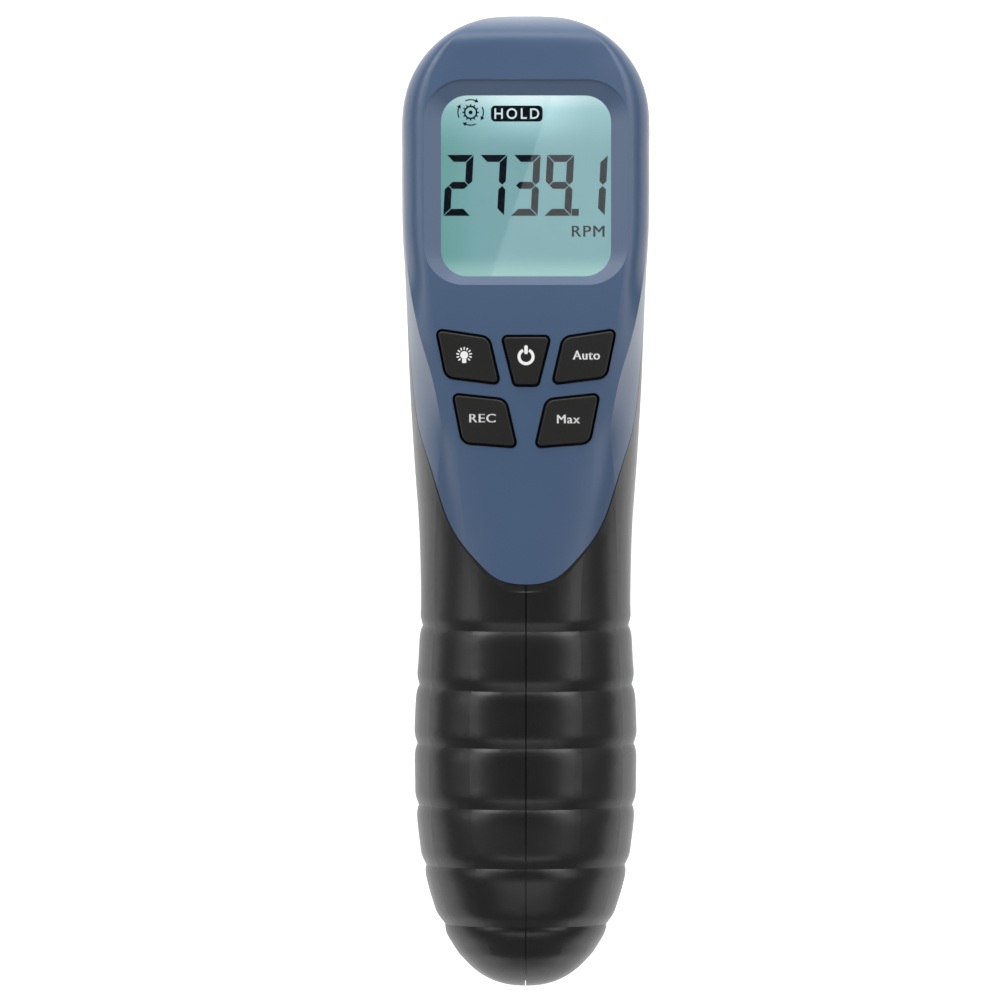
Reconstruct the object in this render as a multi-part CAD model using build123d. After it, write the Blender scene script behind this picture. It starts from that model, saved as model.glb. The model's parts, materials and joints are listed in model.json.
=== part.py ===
from build123d import *
import math
import os

# A hand-held optical tachometer, lying face up. The length runs along Y with the head at +Y, the
# display looks up along +Z, and the nose and the heel rest on the floor at z = 0. All sizes in mm.

# Display window, in the middle of the head
WINDOW_Y = 67.3
WINDOW_WIDTH = 36.2
WINDOW_HEIGHT = 38.5
WINDOW_CORNER = 5.6
BEZEL_SIDE = 3.7
BEZEL_TOP = 3.3
BEZEL_BOTTOM = 1.9
BEZEL_CORNER = 8.6
BEZEL_DEPTH = 1.8
BEZEL_EDGE = 0.35
LIP = 0.5
PAD_MARGIN_X = 3.4
PAD_MARGIN_Y = 3.75
PAD_CORNER = 3.0

# Body outline seen from the display side
FOREHEAD = 14.9
HEAD_WIDTH = 53.4
NECK_WIDTH = 50.0
WAIST_WIDTH = 45.2
GRIP_WIDTH = 48.0
ARCH_RISE = 23.0
ARCH_POWER = 2.1
HEEL_LENGTH = 13.5
HEEL_RISE = 50.0
HEEL_POWER = 2.35

# Body outline seen from the side
FACE_Z = 52.0
TONGUE_Z = 47.8
GRIP_Z = 45.0
HEEL_TOP_Z = 40.0
BELLY_Z = 1.2
WAIST_BELLY_Z = 14.5
HEAD_MIDDLE_Z = 24.0
WAIST_MIDDLE_Z = 31.0
GRIP_MIDDLE_Z = 26.0
HEEL_MIDDLE_Z = 20.0
TIP_TOP_RISE = 7.0
TIP_TOP_POWER = 2.4
TIP_BELLY_RISE = 15.0
TIP_BELLY_POWER = 2.6
HEEL_TOP_RISE = 33.0
HEEL_BELLY_RISE = 17.0
HEEL_SIDE_POWER = 2.2

# Walls, the gap under the face cover, and the narrow line sunk into the black surface where the halves meet
WALL = 2.2
SEAM_GAP = 0.25
LINE_DEPTH = 0.5
SPLIT_LINE = 0.25

# Ring grooves of the grip: height on the middle line and lean of each ring, in degrees
GROOVES = [(-26.6, 4.0), (-39.4, 4.0), (-52.2, 2.0), (-65.6, 1.0), (-78.7, 0.0), (-91.5, 0.0)]
GROOVE_DEPTH = 0.6
SHOULDER = 2.6
TAPER = 2.0

# Tongue of the face cover, as half-widths seen from the display side
TONGUE_END_Y = -19.0
TONGUE = [(-18.25, 2.9), (-16.8, 6.3), (-13.4, 10.2), (-8.2, 14.35), (-3.0, 17.1), (4.7, 19.65),
          (13.5, 22.3), (22.0, 23.95), (30.0, 24.7)]
SEAM_HEAD_Z = 22.0
SEAM_SETTLE = 11.0

# Display stack, from the lens down
LENS_THICK = 1.5
LENS_MARGIN = 1.4
LENS_FIT = 0.15
GASKET_THICK = 0.8
GASKET_INSET = 0.2
GLASS_THICK = 2.8
SEGMENT_THICK = 0.12
GUIDE_THICK = 5.0
GUIDE_GAP = 0.3
STRIP_WIDTH = 2.2

# Shown figures
DIGIT_TOP = 74.0
DIGIT_HEIGHT = 13.0
DIGIT_WIDTH = 5.8
DIGIT_PITCH = 7.15
DIGIT_RIGHT = -11.15
DIGIT_STROKE = 1.5
DIGIT_SLANT = 3.0
SEGMENT_SPLIT = 0.12
POINT_OFFSET = 0.1
READING = "27391"

# Keys: corners of each opening, measured from the top of the keypad, and the radius at each corner
KEYS_BELOW_HOLDER = 7.2
SMALL_CORNER = 1.3
LARGE_CORNER = 2.6
BACKLIGHT_KEY = [(-19.5, 0.0), (-7.6, -1.8), (-5.15, -12.4), (-17.3, -10.85)]
POWER_KEY = [(-5.6, -1.5), (5.6, -1.5), (2.8, -12.65), (-2.8, -12.65)]
RECORD_KEY = [(-16.0, -13.7), (-4.05, -15.0), (-1.55, -25.8), (-13.8, -24.85)]
KEY_GAP = 0.55
KEY_PROUD = 0.6
KEY_EDGE = 0.3
KEY_SLOPE_STEP = 3.0
KEY_TRAVEL = 0.8
FLANGE = 0.7
FLANGE_BELOW_FACE = 6.4
FLANGE_CLEARANCE = 0.2
STEM_DIAMETER = 4.5
STEM_LENGTH = 2.9
PAD_DIAMETER = 5.0
PAD_CLEARANCE = 0.05

# Main board
BOARD_THICK = 1.6
BOARD_NECK_ROOM = 4.3
BOARD_TIP_ROOM = 7.0
BOARD_STEP_DROP = 6.3
BOARD_BELOW_KEYS = 6.4
BOARD_CORNER = 3.0
MAT_THICK = 1.6
MAT_SIDE_ROOM = 1.0
MAT_MARGIN = 1.1
CHIP_SIZE = 14.0
CHIP_THICK = 1.6
CHIP_ROOM = 0.6
CRYSTAL_LENGTH = 11.0
CRYSTAL_WIDTH = 4.6
CRYSTAL_THICK = 3.5
CRYSTAL_ROOM = 2.0

# Screws
BOARD_SCREW_DIAMETER = 2.0
BOARD_SCREW_HEAD = 3.8
BOARD_SCREW_HEAD_THICK = 1.4
BOARD_SCREW_LENGTH = 4.0
BOARD_SCREW_INSET = 2.9
BOARD_BOSS = 4.6
BODY_SCREW_DIAMETER = 2.5
BODY_SCREW_HEAD = 4.8
BODY_SCREW_HEAD_THICK = 2.0
BODY_SCREW_SEAT = 9.0
BODY_SCREW_LENGTH = 16.0
BODY_BOSS = 7.0
SCREW_FIT = 0.1
SCREW_END_ROOM = 0.5
HEAD_CLEARANCE = 0.4
TIP_SCREW_ROOM = 9.0
SLOT_SCREW_ROOM = 5.1
LEVER_SCREW_ROOM = 7.0
TONGUE_SCREW_ROOM = 1.0
HEEL_SCREW_ROOM = 14.0
BODY_SCREW_LEVELS = [14.0, 17.0, 26.5, 24.0, 20.0]
DRIVE_WIDTH = 0.8
DRIVE_DEPTH = 0.9
DRIVE_RIM = 0.6

# Nose, on the far side of the head
NOSE_OFFSET = 0.7
NOSE_WIDTH = 40.0
NOSE_HEIGHT = 36.0
NOSE_CORNER = 9.0
NOSE_PLATE = 2.5
NOSE_SKIRT_Z = 8.0
NOSE_SKIRT_WALL = 1.8
NOSE_FIT = 0.15
NOSE_EDGE = 0.8
LENS_OFFSET = 6.0
LENS_DIAMETER = 15.0
LENS_SEAT = 1.2
LENS_RIM = 2.5
LENS_BULGE = 1.8
LENS_BULGE_ROOM = 0.3
OPENING_FLARE = 1.2
LASER_OFFSET = -10.0
LASER_DIAMETER = 9.0
LASER_OPENING = 5.0
LASER_LENGTH = 19.0
LASER_LENS_DIAMETER = 5.0
LASER_LENS_THICK = 1.2
SLEEVE_WALL = 1.5
HOLDER_TOP_Z = 20.0
HOLDER_BASE = 2.0
FIT = 0.05
SENSOR_DIAMETER = 5.4
SENSOR_THICK = 2.4
SENSOR_BOARD_WIDTH = 20.0
SENSOR_BOARD_LENGTH = 18.0
RIBBON_WIDTH = 10.0
RIBBON_THICK = 0.4
RIBBON_INSET = 2.0
LEAD_DIAMETER = 1.2
LASER_LEAD_SPACING = 4.0
BATTERY_LEAD_SPACING = 6.0

# Trigger: its pivot lies below the nose, and its face is a curve of (distance from the pivot, height)
PIVOT_DROP = 14.0
PIVOT_Z = 20.0
PIN_DIAMETER = 2.5
PIN_LENGTH = 24.0
PIN_BOSS = 6.0
TRIGGER_WIDTH = 14.4
TRIGGER_REACH = 25.0
TRIGGER_GAP = 0.4
TRIGGER_EYE = 4.0
TRIGGER_EDGE = 1.2
TRIGGER_BACK_DROP = 1.5
TRIGGER_SHOULDER = 4.4
TRIGGER_FACE = [(-4.0, -10.4), (2.0, -11.4), (9.0, -10.6), (16.0, -11.8), (22.0, -14.4)]
ARM_REACH = 13.0
ARM_LENGTH = 4.0
ARM_WIDTH = 3.0
ARM_BELOW_SWITCH = 2.1
PLUNGER_GAP = 0.3
PLUNGER_DIAMETER = 1.6
SWITCH_LENGTH = 12.8
SWITCH_WIDTH = 6.4
SWITCH_HEIGHT = 6.5
SWITCH_OFFSET = 1.0
SWITCH_BORE_DEPTH = 4.0
PLUNGER_INSIDE = 2.0
SPRING_REACH = 19.4
SPRING_DIAMETER = 4.6
SPRING_WIRE = 0.5
SPRING_TURNS = 6
SHELF_GAP = 0.4
SHELF_THICK = 1.5
SHELF_LENGTH = 6.4
SHELF_END_X = 4.0

# Battery, a standard nine-volt block, and its door
BATTERY_Y = -52.0
BATTERY_Z = 23.6
BATTERY_TILT = 10.6
BATTERY_CASE_LENGTH = 45.5
BATTERY_WIDTH = 26.5
BATTERY_THICK = 17.5
BATTERY_CORNER = 2.0
TERMINAL_HEIGHT = 3.0
TERMINAL_SPACING = 12.7
SMALL_TERMINAL = 5.6
LARGE_TERMINAL = 8.0
TERMINAL_FIT = 0.2
SNAP_WIDTH = 25.0
SNAP_HEIGHT = 13.0
SNAP_THICK = 5.5
BATTERY_CLEARANCE = 0.3
RIB_SPACING = 24.0
RIB_THICK = 1.8
HINGE_BEHIND_BATTERY = 2.75
HINGE_Z = 4.0
HINGE_PIN_DIAMETER = 1.2
HINGE_PIN_LENGTH = 16.0
KNUCKLE_DIAMETER = 3.2
KNUCKLE_LENGTH = 10.0
KNUCKLE_GAP = 0.3
DOOR_SIDE_ROOM = 1.25
DOOR_REACH = 48.2
DOOR_END_ROOM = 1.5
DOOR_GAP = 0.25
BATTERY_PAD_WIDTH = 16.0
BATTERY_PAD_LENGTH = 20.0
BATTERY_PAD_GAP = 0.3

# Places along the length, worked out from the window and the last groove
TIP_Y = WINDOW_Y + WINDOW_HEIGHT / 2 + BEZEL_TOP + FOREHEAD
HEEL_Y = GROOVES[-1][0] - HEEL_LENGTH
LENGTH = TIP_Y - HEEL_Y
PAD_WIDTH = WINDOW_WIDTH + 2 * PAD_MARGIN_X
PAD_HEIGHT = WINDOW_HEIGHT + 2 * PAD_MARGIN_Y
PAD_BOTTOM_Y = WINDOW_Y - PAD_HEIGHT / 2
KEYS_TOP_Y = PAD_BOTTOM_Y - KEYS_BELOW_HOLDER
KEYS_BOTTOM_Y = KEYS_TOP_Y + min(y for _, y in RECORD_KEY)
NOSE_Y = WINDOW_Y + NOSE_OFFSET
CHIN_Y = NOSE_Y - NOSE_HEIGHT / 2
LENS_Y = NOSE_Y + LENS_OFFSET
LASER_Y = NOSE_Y + LASER_OFFSET
PIVOT_Y = CHIN_Y - PIVOT_DROP
ARM_Y = PIVOT_Y - ARM_REACH
SPRING_Y = PIVOT_Y - SPRING_REACH
SLOT_TOP_Y = PIVOT_Y + TRIGGER_SHOULDER
HINGE_Y = BATTERY_Y - BATTERY_CASE_LENGTH / 2 - HINGE_BEHIND_BATTERY
DOOR_END_Y = HINGE_Y + DOOR_END_ROOM
RIB_PLACES = [BATTERY_Y + RIB_SPACING / 2, BATTERY_Y - RIB_SPACING / 2]

# Levels of the display stack, worked out from the face downwards
LIP_Z = FACE_Z - BEZEL_DEPTH - LIP
LENS_Z = LIP_Z - LENS_THICK
GLASS_TOP_Z = LENS_Z - GASKET_THICK
GLASS_Z = GLASS_TOP_Z - GLASS_THICK
BOARD_TOP_Z = GLASS_Z - GUIDE_THICK
BOARD_Z = BOARD_TOP_Z - BOARD_THICK
FLANGE_Z = FACE_Z - FLANGE_BELOW_FACE
STEM_Z = FLANGE_Z - STEM_LENGTH
SWITCH_Z = BOARD_Z - SWITCH_HEIGHT
ARM_TOP_Z = SWITCH_Z - ARM_BELOW_SWITCH
SHELF_Z = SWITCH_Z - SHELF_GAP - SHELF_THICK
TRIGGER_BACK_Z = PIVOT_Z - TRIGGER_BACK_DROP

# Sizes of what fits inside the walls
POCKET_WIDTH = WINDOW_WIDTH + 2 * (LENS_MARGIN + LENS_FIT)
POCKET_HEIGHT = WINDOW_HEIGHT + 2 * (LENS_MARGIN + LENS_FIT)
LENS_OPENING = LENS_DIAMETER - 2 * LENS_SEAT
DOOR_WIDTH = BATTERY_WIDTH + 2 * (BATTERY_CLEARANCE + DOOR_SIDE_ROOM)
BOARD_HEAD_WIDTH = PAD_WIDTH
BOARD_NECK_WIDTH = NECK_WIDTH - 2 * (WALL + BOARD_NECK_ROOM)
BOARD_TOP_Y = TIP_Y - BOARD_TIP_ROOM
BOARD_STEP_Y = PAD_BOTTOM_Y - BOARD_STEP_DROP
BOARD_BOTTOM_Y = KEYS_BOTTOM_Y - BOARD_BELOW_KEYS
RIBBON_Y = LENS_Y + SENSOR_BOARD_LENGTH / 2 - RIBBON_INSET - RIBBON_THICK
CHIP_Y = RIBBON_Y - CHIP_ROOM - CHIP_SIZE / 2

# Screws of the board as (x, y), and screws of the halves as (y, z)
NECK_SCREW_X = BOARD_NECK_WIDTH / 2 - BOARD_SCREW_INSET
HEAD_SCREW_X = BOARD_HEAD_WIDTH / 2 - BOARD_SCREW_INSET
HEAD_SCREW_Y = BOARD_STEP_Y + BOARD_SCREW_INSET
NECK_SCREW_Y = BOARD_BOTTOM_Y + BOARD_SCREW_INSET
BOARD_SCREW_PLACES = [(0.0, BOARD_TOP_Y - BOARD_SCREW_INSET), (-HEAD_SCREW_X, HEAD_SCREW_Y),
                      (HEAD_SCREW_X, HEAD_SCREW_Y), (-NECK_SCREW_X, NECK_SCREW_Y),
                      (NECK_SCREW_X, NECK_SCREW_Y)]
BODY_SCREW_YS = [TIP_Y - TIP_SCREW_ROOM, SLOT_TOP_Y + SLOT_SCREW_ROOM,
                 PIVOT_Y - TRIGGER_REACH - LEVER_SCREW_ROOM, TONGUE_END_Y + TONGUE_SCREW_ROOM,
                 HEEL_Y + HEEL_SCREW_ROOM]
BODY_SCREW_PLACES = list(zip(BODY_SCREW_YS, BODY_SCREW_LEVELS))

# A span longer than the whole object, for the shapes that cut right through
FAR = 2 * LENGTH

# Stations along the body where its section is given
GRIP_Y = -60.0
WAIST_Y = -19.0
HEAD_Y = WINDOW_Y - 11.3
CHEEK_Y = HEAD_Y - 12.0
NECK_TOP_Y = HEAD_Y - 21.0
NECK_Y = HEAD_Y - 34.0
NECK_FADE_Y = HEAD_Y - 42.0
NECK_LOW_Y = HEAD_Y - 51.0
SEAM_DROP_Y = HEAD_Y - 9.0

# Profiles of the body, each a few (y, value) points that a smooth curve runs through
HALF_WIDTHS = [(-50, GRIP_WIDTH / 2), (-30, WAIST_WIDTH / 2 + 0.35), (WAIST_Y - 2, WAIST_WIDTH / 2),
               (WAIST_Y + 11, WAIST_WIDTH / 2 + 0.25), (NECK_LOW_Y + 4, NECK_WIDTH / 2 - 1.0),
               (NECK_Y + 4, NECK_WIDTH / 2), (HEAD_Y - 8, HEAD_WIDTH / 2 - 0.75),
               (HEAD_Y + 4, HEAD_WIDTH / 2 - 0.1), (HEAD_Y + 14, HEAD_WIDTH / 2)]
TOPS = [(-95, HEEL_TOP_Z), (-80, HEEL_TOP_Z + 1.5), (-65, GRIP_Z - 1.5), (-50, GRIP_Z), (-35, GRIP_Z + 1.5),
        (WAIST_Y, TONGUE_Z), (NECK_Y - 10, FACE_Z - 2.0), (HEAD_Y - 10, FACE_Z)]
BOTTOMS = [(-88, 0.0), (-77, 2.4), (-65, 5.0), (-50, 8.0), (-35, 11.0), (WAIST_Y + 4, WAIST_BELLY_Z),
           (CHIN_Y - 25, WAIST_BELLY_Z - 0.5), (CHIN_Y - 12, 10.0), (CHIN_Y, BELLY_Z + 1.3),
           (CHIN_Y + 8, BELLY_Z)]
MIDDLES = [(-90, HEEL_MIDDLE_Z), (-50, GRIP_MIDDLE_Z), (WAIST_Y + 4, WAIST_MIDDLE_Z),
           (NECK_Y - 2, WAIST_MIDDLE_Z), (HEAD_Y - 1, HEAD_MIDDLE_Z)]

# Shape of the upper half of a section. The shoulder ends the flat of the face, and the crease is
# where the flank starts: x as a share of the half-width, z as a share of the height, angles in degrees.
# The crease is sharp beside the upper keys and fades out beside the lower ones.
SHOULDER_X = [(GRIP_Y, 0.5), (WAIST_Y, 0.52), (NECK_LOW_Y, 0.6), (NECK_FADE_Y, 0.6), (NECK_Y, 0.62),
              (NECK_TOP_Y, 0.74), (HEAD_Y, 0.81)]
SHOULDER_Z = [(GRIP_Y, 0.87), (WAIST_Y, 0.895), (NECK_LOW_Y, 0.945), (NECK_FADE_Y, 0.96), (NECK_Y, 0.972),
              (NECK_TOP_Y, 0.98), (HEAD_Y, 0.9875)]
SHOULDER_ANGLE = [(GRIP_Y, 28), (WAIST_Y, 24), (NECK_LOW_Y, 15), (NECK_FADE_Y, 12), (NECK_Y, 8),
                  (NECK_TOP_Y, 7), (HEAD_Y, 7)]
CREASE_X = [(GRIP_Y, 0.87), (WAIST_Y, 0.87), (NECK_LOW_Y, 0.8), (NECK_FADE_Y, 0.74), (NECK_Y, 0.765),
            (NECK_TOP_Y, 0.885), (CHEEK_Y, 0.95), (HEAD_Y, 0.981)]
CREASE_Z = [(GRIP_Y, 0.5), (WAIST_Y, 0.52), (NECK_LOW_Y, 0.8), (NECK_FADE_Y, 0.9), (NECK_Y, 0.94),
            (NECK_TOP_Y, 0.935), (CHEEK_Y, 0.895), (HEAD_Y, 0.78)]
CREASE_FACE_ANGLE = [(GRIP_Y, 60), (WAIST_Y, 55), (NECK_LOW_Y, 44), (NECK_FADE_Y, 28), (NECK_Y, 12),
                     (NECK_TOP_Y, 20), (CHEEK_Y, 45), (HEAD_Y, 87)]
CREASE_FLANK_ANGLE = [(GRIP_Y, 60), (WAIST_Y, 55), (NECK_LOW_Y, 46), (NECK_FADE_Y, 42), (NECK_Y, 60),
                      (NECK_TOP_Y, 74), (CHEEK_Y, 82), (HEAD_Y, 87)]
BELLY_FULLNESS = [(GRIP_Y, 0.58), (WAIST_Y, 0.6), (NECK_Y + 8, 0.7), (HEAD_Y - 1, 0.86)]


def through(points, place):
    """Value at a place on a smooth curve that runs through a few (place, value) points."""
    if place <= points[0][0]:
        return points[0][1]
    if place >= points[-1][0]:
        return points[-1][1]
    rises = [(b[1] - a[1]) / (b[0] - a[0]) for a, b in zip(points, points[1:])]
    slopes = [0.0]
    for before, after in zip(rises, rises[1:]):
        turns_back = before * after <= 0
        slopes.append(0.0 if turns_back else 2 * before * after / (before + after))
    slopes.append(0.0)
    index = max(i for i in range(len(points) - 1) if points[i][0] <= place)
    span = points[index + 1][0] - points[index][0]
    t = (place - points[index][0]) / span
    start_part = points[index][1] * (1 + 2 * t) * (1 - t) ** 2 + slopes[index] * span * t * (1 - t) ** 2
    end_part = points[index + 1][1] * t * t * (3 - 2 * t) - slopes[index + 1] * span * t * t * (1 - t)
    return start_part + end_part


def closing(distance, rise, power):
    """Share of the full size that is left at a distance into a rounded end."""
    share = min(max(distance / rise, 0.0), 1.0)
    return (1 - share ** power) ** (1 / power)


def curved_run(start, start_angle, end, end_angle):
    """Four control points of a smooth run between two points with given downward angles."""
    chord = math.hypot(end[0] - start[0], end[1] - start[1])
    first = math.radians(start_angle)
    last = math.radians(end_angle)
    reach = chord / (3 * math.cos((last - first) / 4) ** 2)
    leaving = (start[0] + reach * math.cos(first), start[1] - reach * math.sin(first))
    arriving = (end[0] - reach * math.cos(last), end[1] + reach * math.sin(last))
    return [start, leaving, arriving, end]


def section_runs(y, inset=0.0):
    """Right half of the body's section at y: four runs of control points, and the middle level."""
    middle = through(MIDDLES, y)
    wide = closing(y - (TIP_Y - ARCH_RISE), ARCH_RISE - inset, ARCH_POWER)
    wide *= closing(HEEL_Y + HEEL_RISE - y, HEEL_RISE - inset, HEEL_POWER)
    high = closing(y - (TIP_Y - TIP_TOP_RISE), TIP_TOP_RISE - inset, TIP_TOP_POWER)
    high *= closing(HEEL_Y + HEEL_TOP_RISE - y, HEEL_TOP_RISE - inset, HEEL_SIDE_POWER)
    deep = closing(y - (TIP_Y - TIP_BELLY_RISE), TIP_BELLY_RISE - inset, TIP_BELLY_POWER)
    deep *= closing(HEEL_Y + HEEL_BELLY_RISE - y, HEEL_BELLY_RISE - inset, HEEL_SIDE_POWER)
    half = (through(HALF_WIDTHS, y) - inset) * wide
    up = (through(TOPS, y) - middle - inset) * high
    down = (middle - through(BOTTOMS, y) - inset) * deep
    shoulder = (half * through(SHOULDER_X, y), up * through(SHOULDER_Z, y))
    crease = (half * through(CREASE_X, y), up * through(CREASE_Z, y))
    full = through(BELLY_FULLNESS, y)
    shoulder_angle = through(SHOULDER_ANGLE, y)
    runs = [
        curved_run((0, up), 0, shoulder, shoulder_angle),
        curved_run(shoulder, shoulder_angle, crease, through(CREASE_FACE_ANGLE, y)),
        curved_run(crease, through(CREASE_FLANK_ANGLE, y), (half, 0), 90),
        [(half, 0), (half, -full * down), (full * half, -down), (0, -down)],
    ]
    return runs, middle


def section(y, inset=0.0, lean=0.0):
    """Closed outline of the body's section at y, leaning by an angle about the middle level."""
    runs, middle = section_runs(y, inset)
    slope = math.tan(math.radians(lean))

    def standing(points, side):
        return [Vector(side * x, y - z * slope, middle + z) for x, z in points]

    edges = [Edge.make_bezier(*standing(run, 1)) for run in runs]
    edges += [Edge.make_bezier(*standing(reversed(run), -1)) for run in reversed(runs)]
    return Wire(edges)


def height_at(y, x):
    """Level of the body's upper surface at y, at a distance x from the middle plane."""
    runs, middle = section_runs(y)
    for run in runs[:3]:
        if run[0][0] <= x <= run[3][0]:
            low, high = 0.0, 1.0
            for _ in range(40):
                t = (low + high) / 2
                weights = [(1 - t) ** 3, 3 * t * (1 - t) ** 2, 3 * t * t * (1 - t), t ** 3]
                here = sum(w * p[0] for w, p in zip(weights, run))
                low, high = (t, high) if here < x else (low, t)
            return middle + sum(w * p[1] for w, p in zip(weights, run))
    return middle


def rounded_outline(corners, radii, z=0.0):
    """Flat face with straight sides and rounded corners."""
    line = FilletPolyline(*[(x, y, z) for x, y in corners], radius=radii, close=True)
    return make_face(line)


def rounded_box(width, height, corner, y, low, high):
    """Upright block centred on the middle plane with rounded corners in plan."""
    plan = Pos(0, y, low) * RectangleRounded(width, height, corner)
    return extrude(plan, high - low)


def block(x_from, x_to, y_from, y_to, z_from, z_to):
    """Plain block between given corners."""
    centre = Pos((x_from + x_to) / 2, (y_from + y_to) / 2, (z_from + z_to) / 2)
    return centre * Box(x_to - x_from, y_to - y_from, z_to - z_from)


def upright(x, y, diameter, low, high):
    """Round bar standing along Z."""
    return Pos(x, y, (low + high) / 2) * Cylinder(diameter / 2, high - low)


def crosswise(y, z, diameter, x_from, x_to):
    """Round bar lying along X."""
    return Pos((x_from + x_to) / 2, y, z) * Rot(0, 90, 0) * Cylinder(diameter / 2, x_to - x_from)


def evenly(start, end, steps):
    """Places from start to end, without start itself, in a number of equal steps."""
    return [start + (end - start) * index / steps for index in range(1, steps + 1)]


def head_and_waist():
    """Smooth part of the body, from the tip of the head to the first ring groove."""
    tip_steps = [0.03, 0.3, 0.9, 1.8, 3.0, 4.5, 6.5, 9.0, 12.5, 17.0, 22.3]
    first_y, first_lean = GROOVES[0]
    places = [TIP_Y - step for step in tip_steps]
    places += evenly(places[-1], first_y + 10.6, 16)
    wires = [section(y) for y in places]
    for above, lean in ((7.2, 0.3), (5.4, 0.6), (4.1, 0.85), (3.1, 1.0)):
        wires.append(section(first_y + above, 0.0, lean * first_lean))
    wires += taper_steps(first_y, lambda above: first_lean)
    return Solid.make_loft(wires)


def taper_steps(y, lean_at):
    """Sections of the tapered lower end of a rib that runs into a groove at y."""
    profile = [(1.15, 0.0), (0.8, 0.2), (0.4, 0.6), (0.0, 1.0)]
    return [section(y + above * TAPER, depth * GROOVE_DEPTH, lean_at(above * TAPER))
            for above, depth in profile]


def shoulder_steps(y, lean_at):
    """Sections of the rounded upper edge of a rib that starts in a groove at y."""
    profile = [(0.0, 1.0), (0.15, 0.68), (0.4, 0.34), (0.7, 0.11), (1.15, 0.0)]
    return [section(y - along * SHOULDER, depth * GROOVE_DEPTH, lean_at(along * SHOULDER))
            for along, depth in profile]


def grip_rib(start, end):
    """One rib of the grip, from a groove to the next: rounded at its upper edge, tapered below."""
    (start_y, start_lean), (end_y, end_lean) = start, end
    span = start_y - end_y

    def lean_at(along):
        return start_lean + (end_lean - start_lean) * along / span

    wires = shoulder_steps(start_y, lean_at)
    for share in (0.36, 0.51, 0.66):
        wires.append(section(start_y - share * span, 0.0, lean_at(share * span)))
    wires += taper_steps(end_y, lambda above: lean_at(span - above))
    return Solid.make_loft(wires)


def heel():
    """Rounded end of the grip below the last groove."""
    last_y, last_lean = GROOVES[-1]
    wires = shoulder_steps(last_y, lambda along: last_lean)
    for share in (0.63, 0.46, 0.31, 0.193, 0.104, 0.044, 0.015, 0.002):
        wires.append(section(HEEL_Y + share * HEEL_LENGTH))
    return Solid.make_loft(wires)


def body_form():
    """Outside of the closed body as one solid."""
    ribs = [grip_rib(start, end) for start, end in zip(GROOVES, GROOVES[1:])]
    return head_and_waist().fuse(*ribs, heel())


def hollow_form(inset):
    """Smooth body without grooves, smaller by an inset all round, or larger where it is negative."""
    steps = [0.05, 0.8, 2.2, 4.5, 8.0, 13.0, 20.0]
    places = [TIP_Y - inset - step for step in steps]
    places += evenly(places[-1], WAIST_Y, 13)
    places += evenly(WAIST_Y, HEEL_Y + 17.0, 6)
    places += [HEEL_Y + inset + step for step in (9.8, 6.3, 3.8, 2.0, 0.8, 0.1)]
    return Solid.make_loft([section(y, inset) for y in places])


def seam_points():
    """Side view of the seam between the face cover and the halves, from the tongue to the head."""
    points = [(TONGUE_END_Y - 0.6, through(TOPS, TONGUE_END_Y) + 0.5)]
    points.append((TONGUE_END_Y, through(TOPS, TONGUE_END_Y)))
    points += [(y, height_at(y, half)) for y, half in TONGUE]
    points.append((SEAM_DROP_Y, through(MIDDLES, SEAM_DROP_Y)))
    return points


def above_seam(shift):
    """Everything on the display side of the seam, moved by a shift along Z."""
    points = [(y, z + shift) for y, z in seam_points()]
    curve = Spline(*[(0, y, z) for y, z in points])
    last_y, last_z = points[-1]
    settle = Spline((0, last_y, last_z), (0, last_y + SEAM_SETTLE, SEAM_HEAD_Z + shift),
                    tangents=[curve % 1, (0, 1, 0)])
    border = Polyline((0, last_y + SEAM_SETTLE, SEAM_HEAD_Z + shift), (0, FAR, SEAM_HEAD_Z + shift),
                      (0, FAR, FAR), (0, points[0][0], FAR), (0, points[0][0], points[0][1]))
    side = make_face([curve, settle, border])
    return extrude(side, FAR, dir=(1, 0, 0), both=True)


def mirrored(corners):
    """Corners of the like key on the other side, in the same turning sense."""
    return [(-x, y) for x, y in reversed(corners)]


def placed(corners):
    """Corners of a key, moved from the keypad's top edge to their place on the body."""
    return [(x, KEYS_TOP_Y + y) for x, y in corners]


def key_openings():
    """Openings of the five keys as corners and radii, by node name."""
    slanted = [SMALL_CORNER, LARGE_CORNER, SMALL_CORNER, LARGE_CORNER]
    swapped = [LARGE_CORNER, SMALL_CORNER, LARGE_CORNER, SMALL_CORNER]
    tapered = 4 * [SMALL_CORNER]
    return {
        "key_backlight": (placed(BACKLIGHT_KEY), slanted),
        "key_power": (placed(POWER_KEY), tapered),
        "key_auto": (placed(mirrored(BACKLIGHT_KEY)), swapped),
        "key_record": (placed(RECORD_KEY), slanted),
        "key_max": (placed(mirrored(RECORD_KEY)), swapped),
    }


def key_plan(name, growth):
    """Plan of a key's opening, grown or shrunk by an amount."""
    corners, radii = key_openings()[name]
    plan = rounded_outline(corners, radii)
    if growth == 0:
        return plan
    return offset(plan, amount=growth)


def key_middle(name):
    """Middle of a key's opening in plan."""
    corners, _ = key_openings()[name]
    return (sum(x for x, _ in corners) / 4, sum(y for _, y in corners) / 4)


def key_top(name):
    """Plane of a key's top, along the face and a little proud of it."""
    x, y = key_middle(name)
    step = KEY_SLOPE_STEP
    beside = abs(x)
    high = height_at(y, beside) + KEY_PROUD
    across = (height_at(y, beside + step) - height_at(y, max(beside - step, 0))) / (2 * step)
    along = (height_at(y + step, beside) - height_at(y - step, beside)) / (2 * step)
    across = math.copysign(across, -x) if x else 0.0
    return Plane(origin=(x, y, high), z_dir=(-across, -along, 1))


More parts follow.
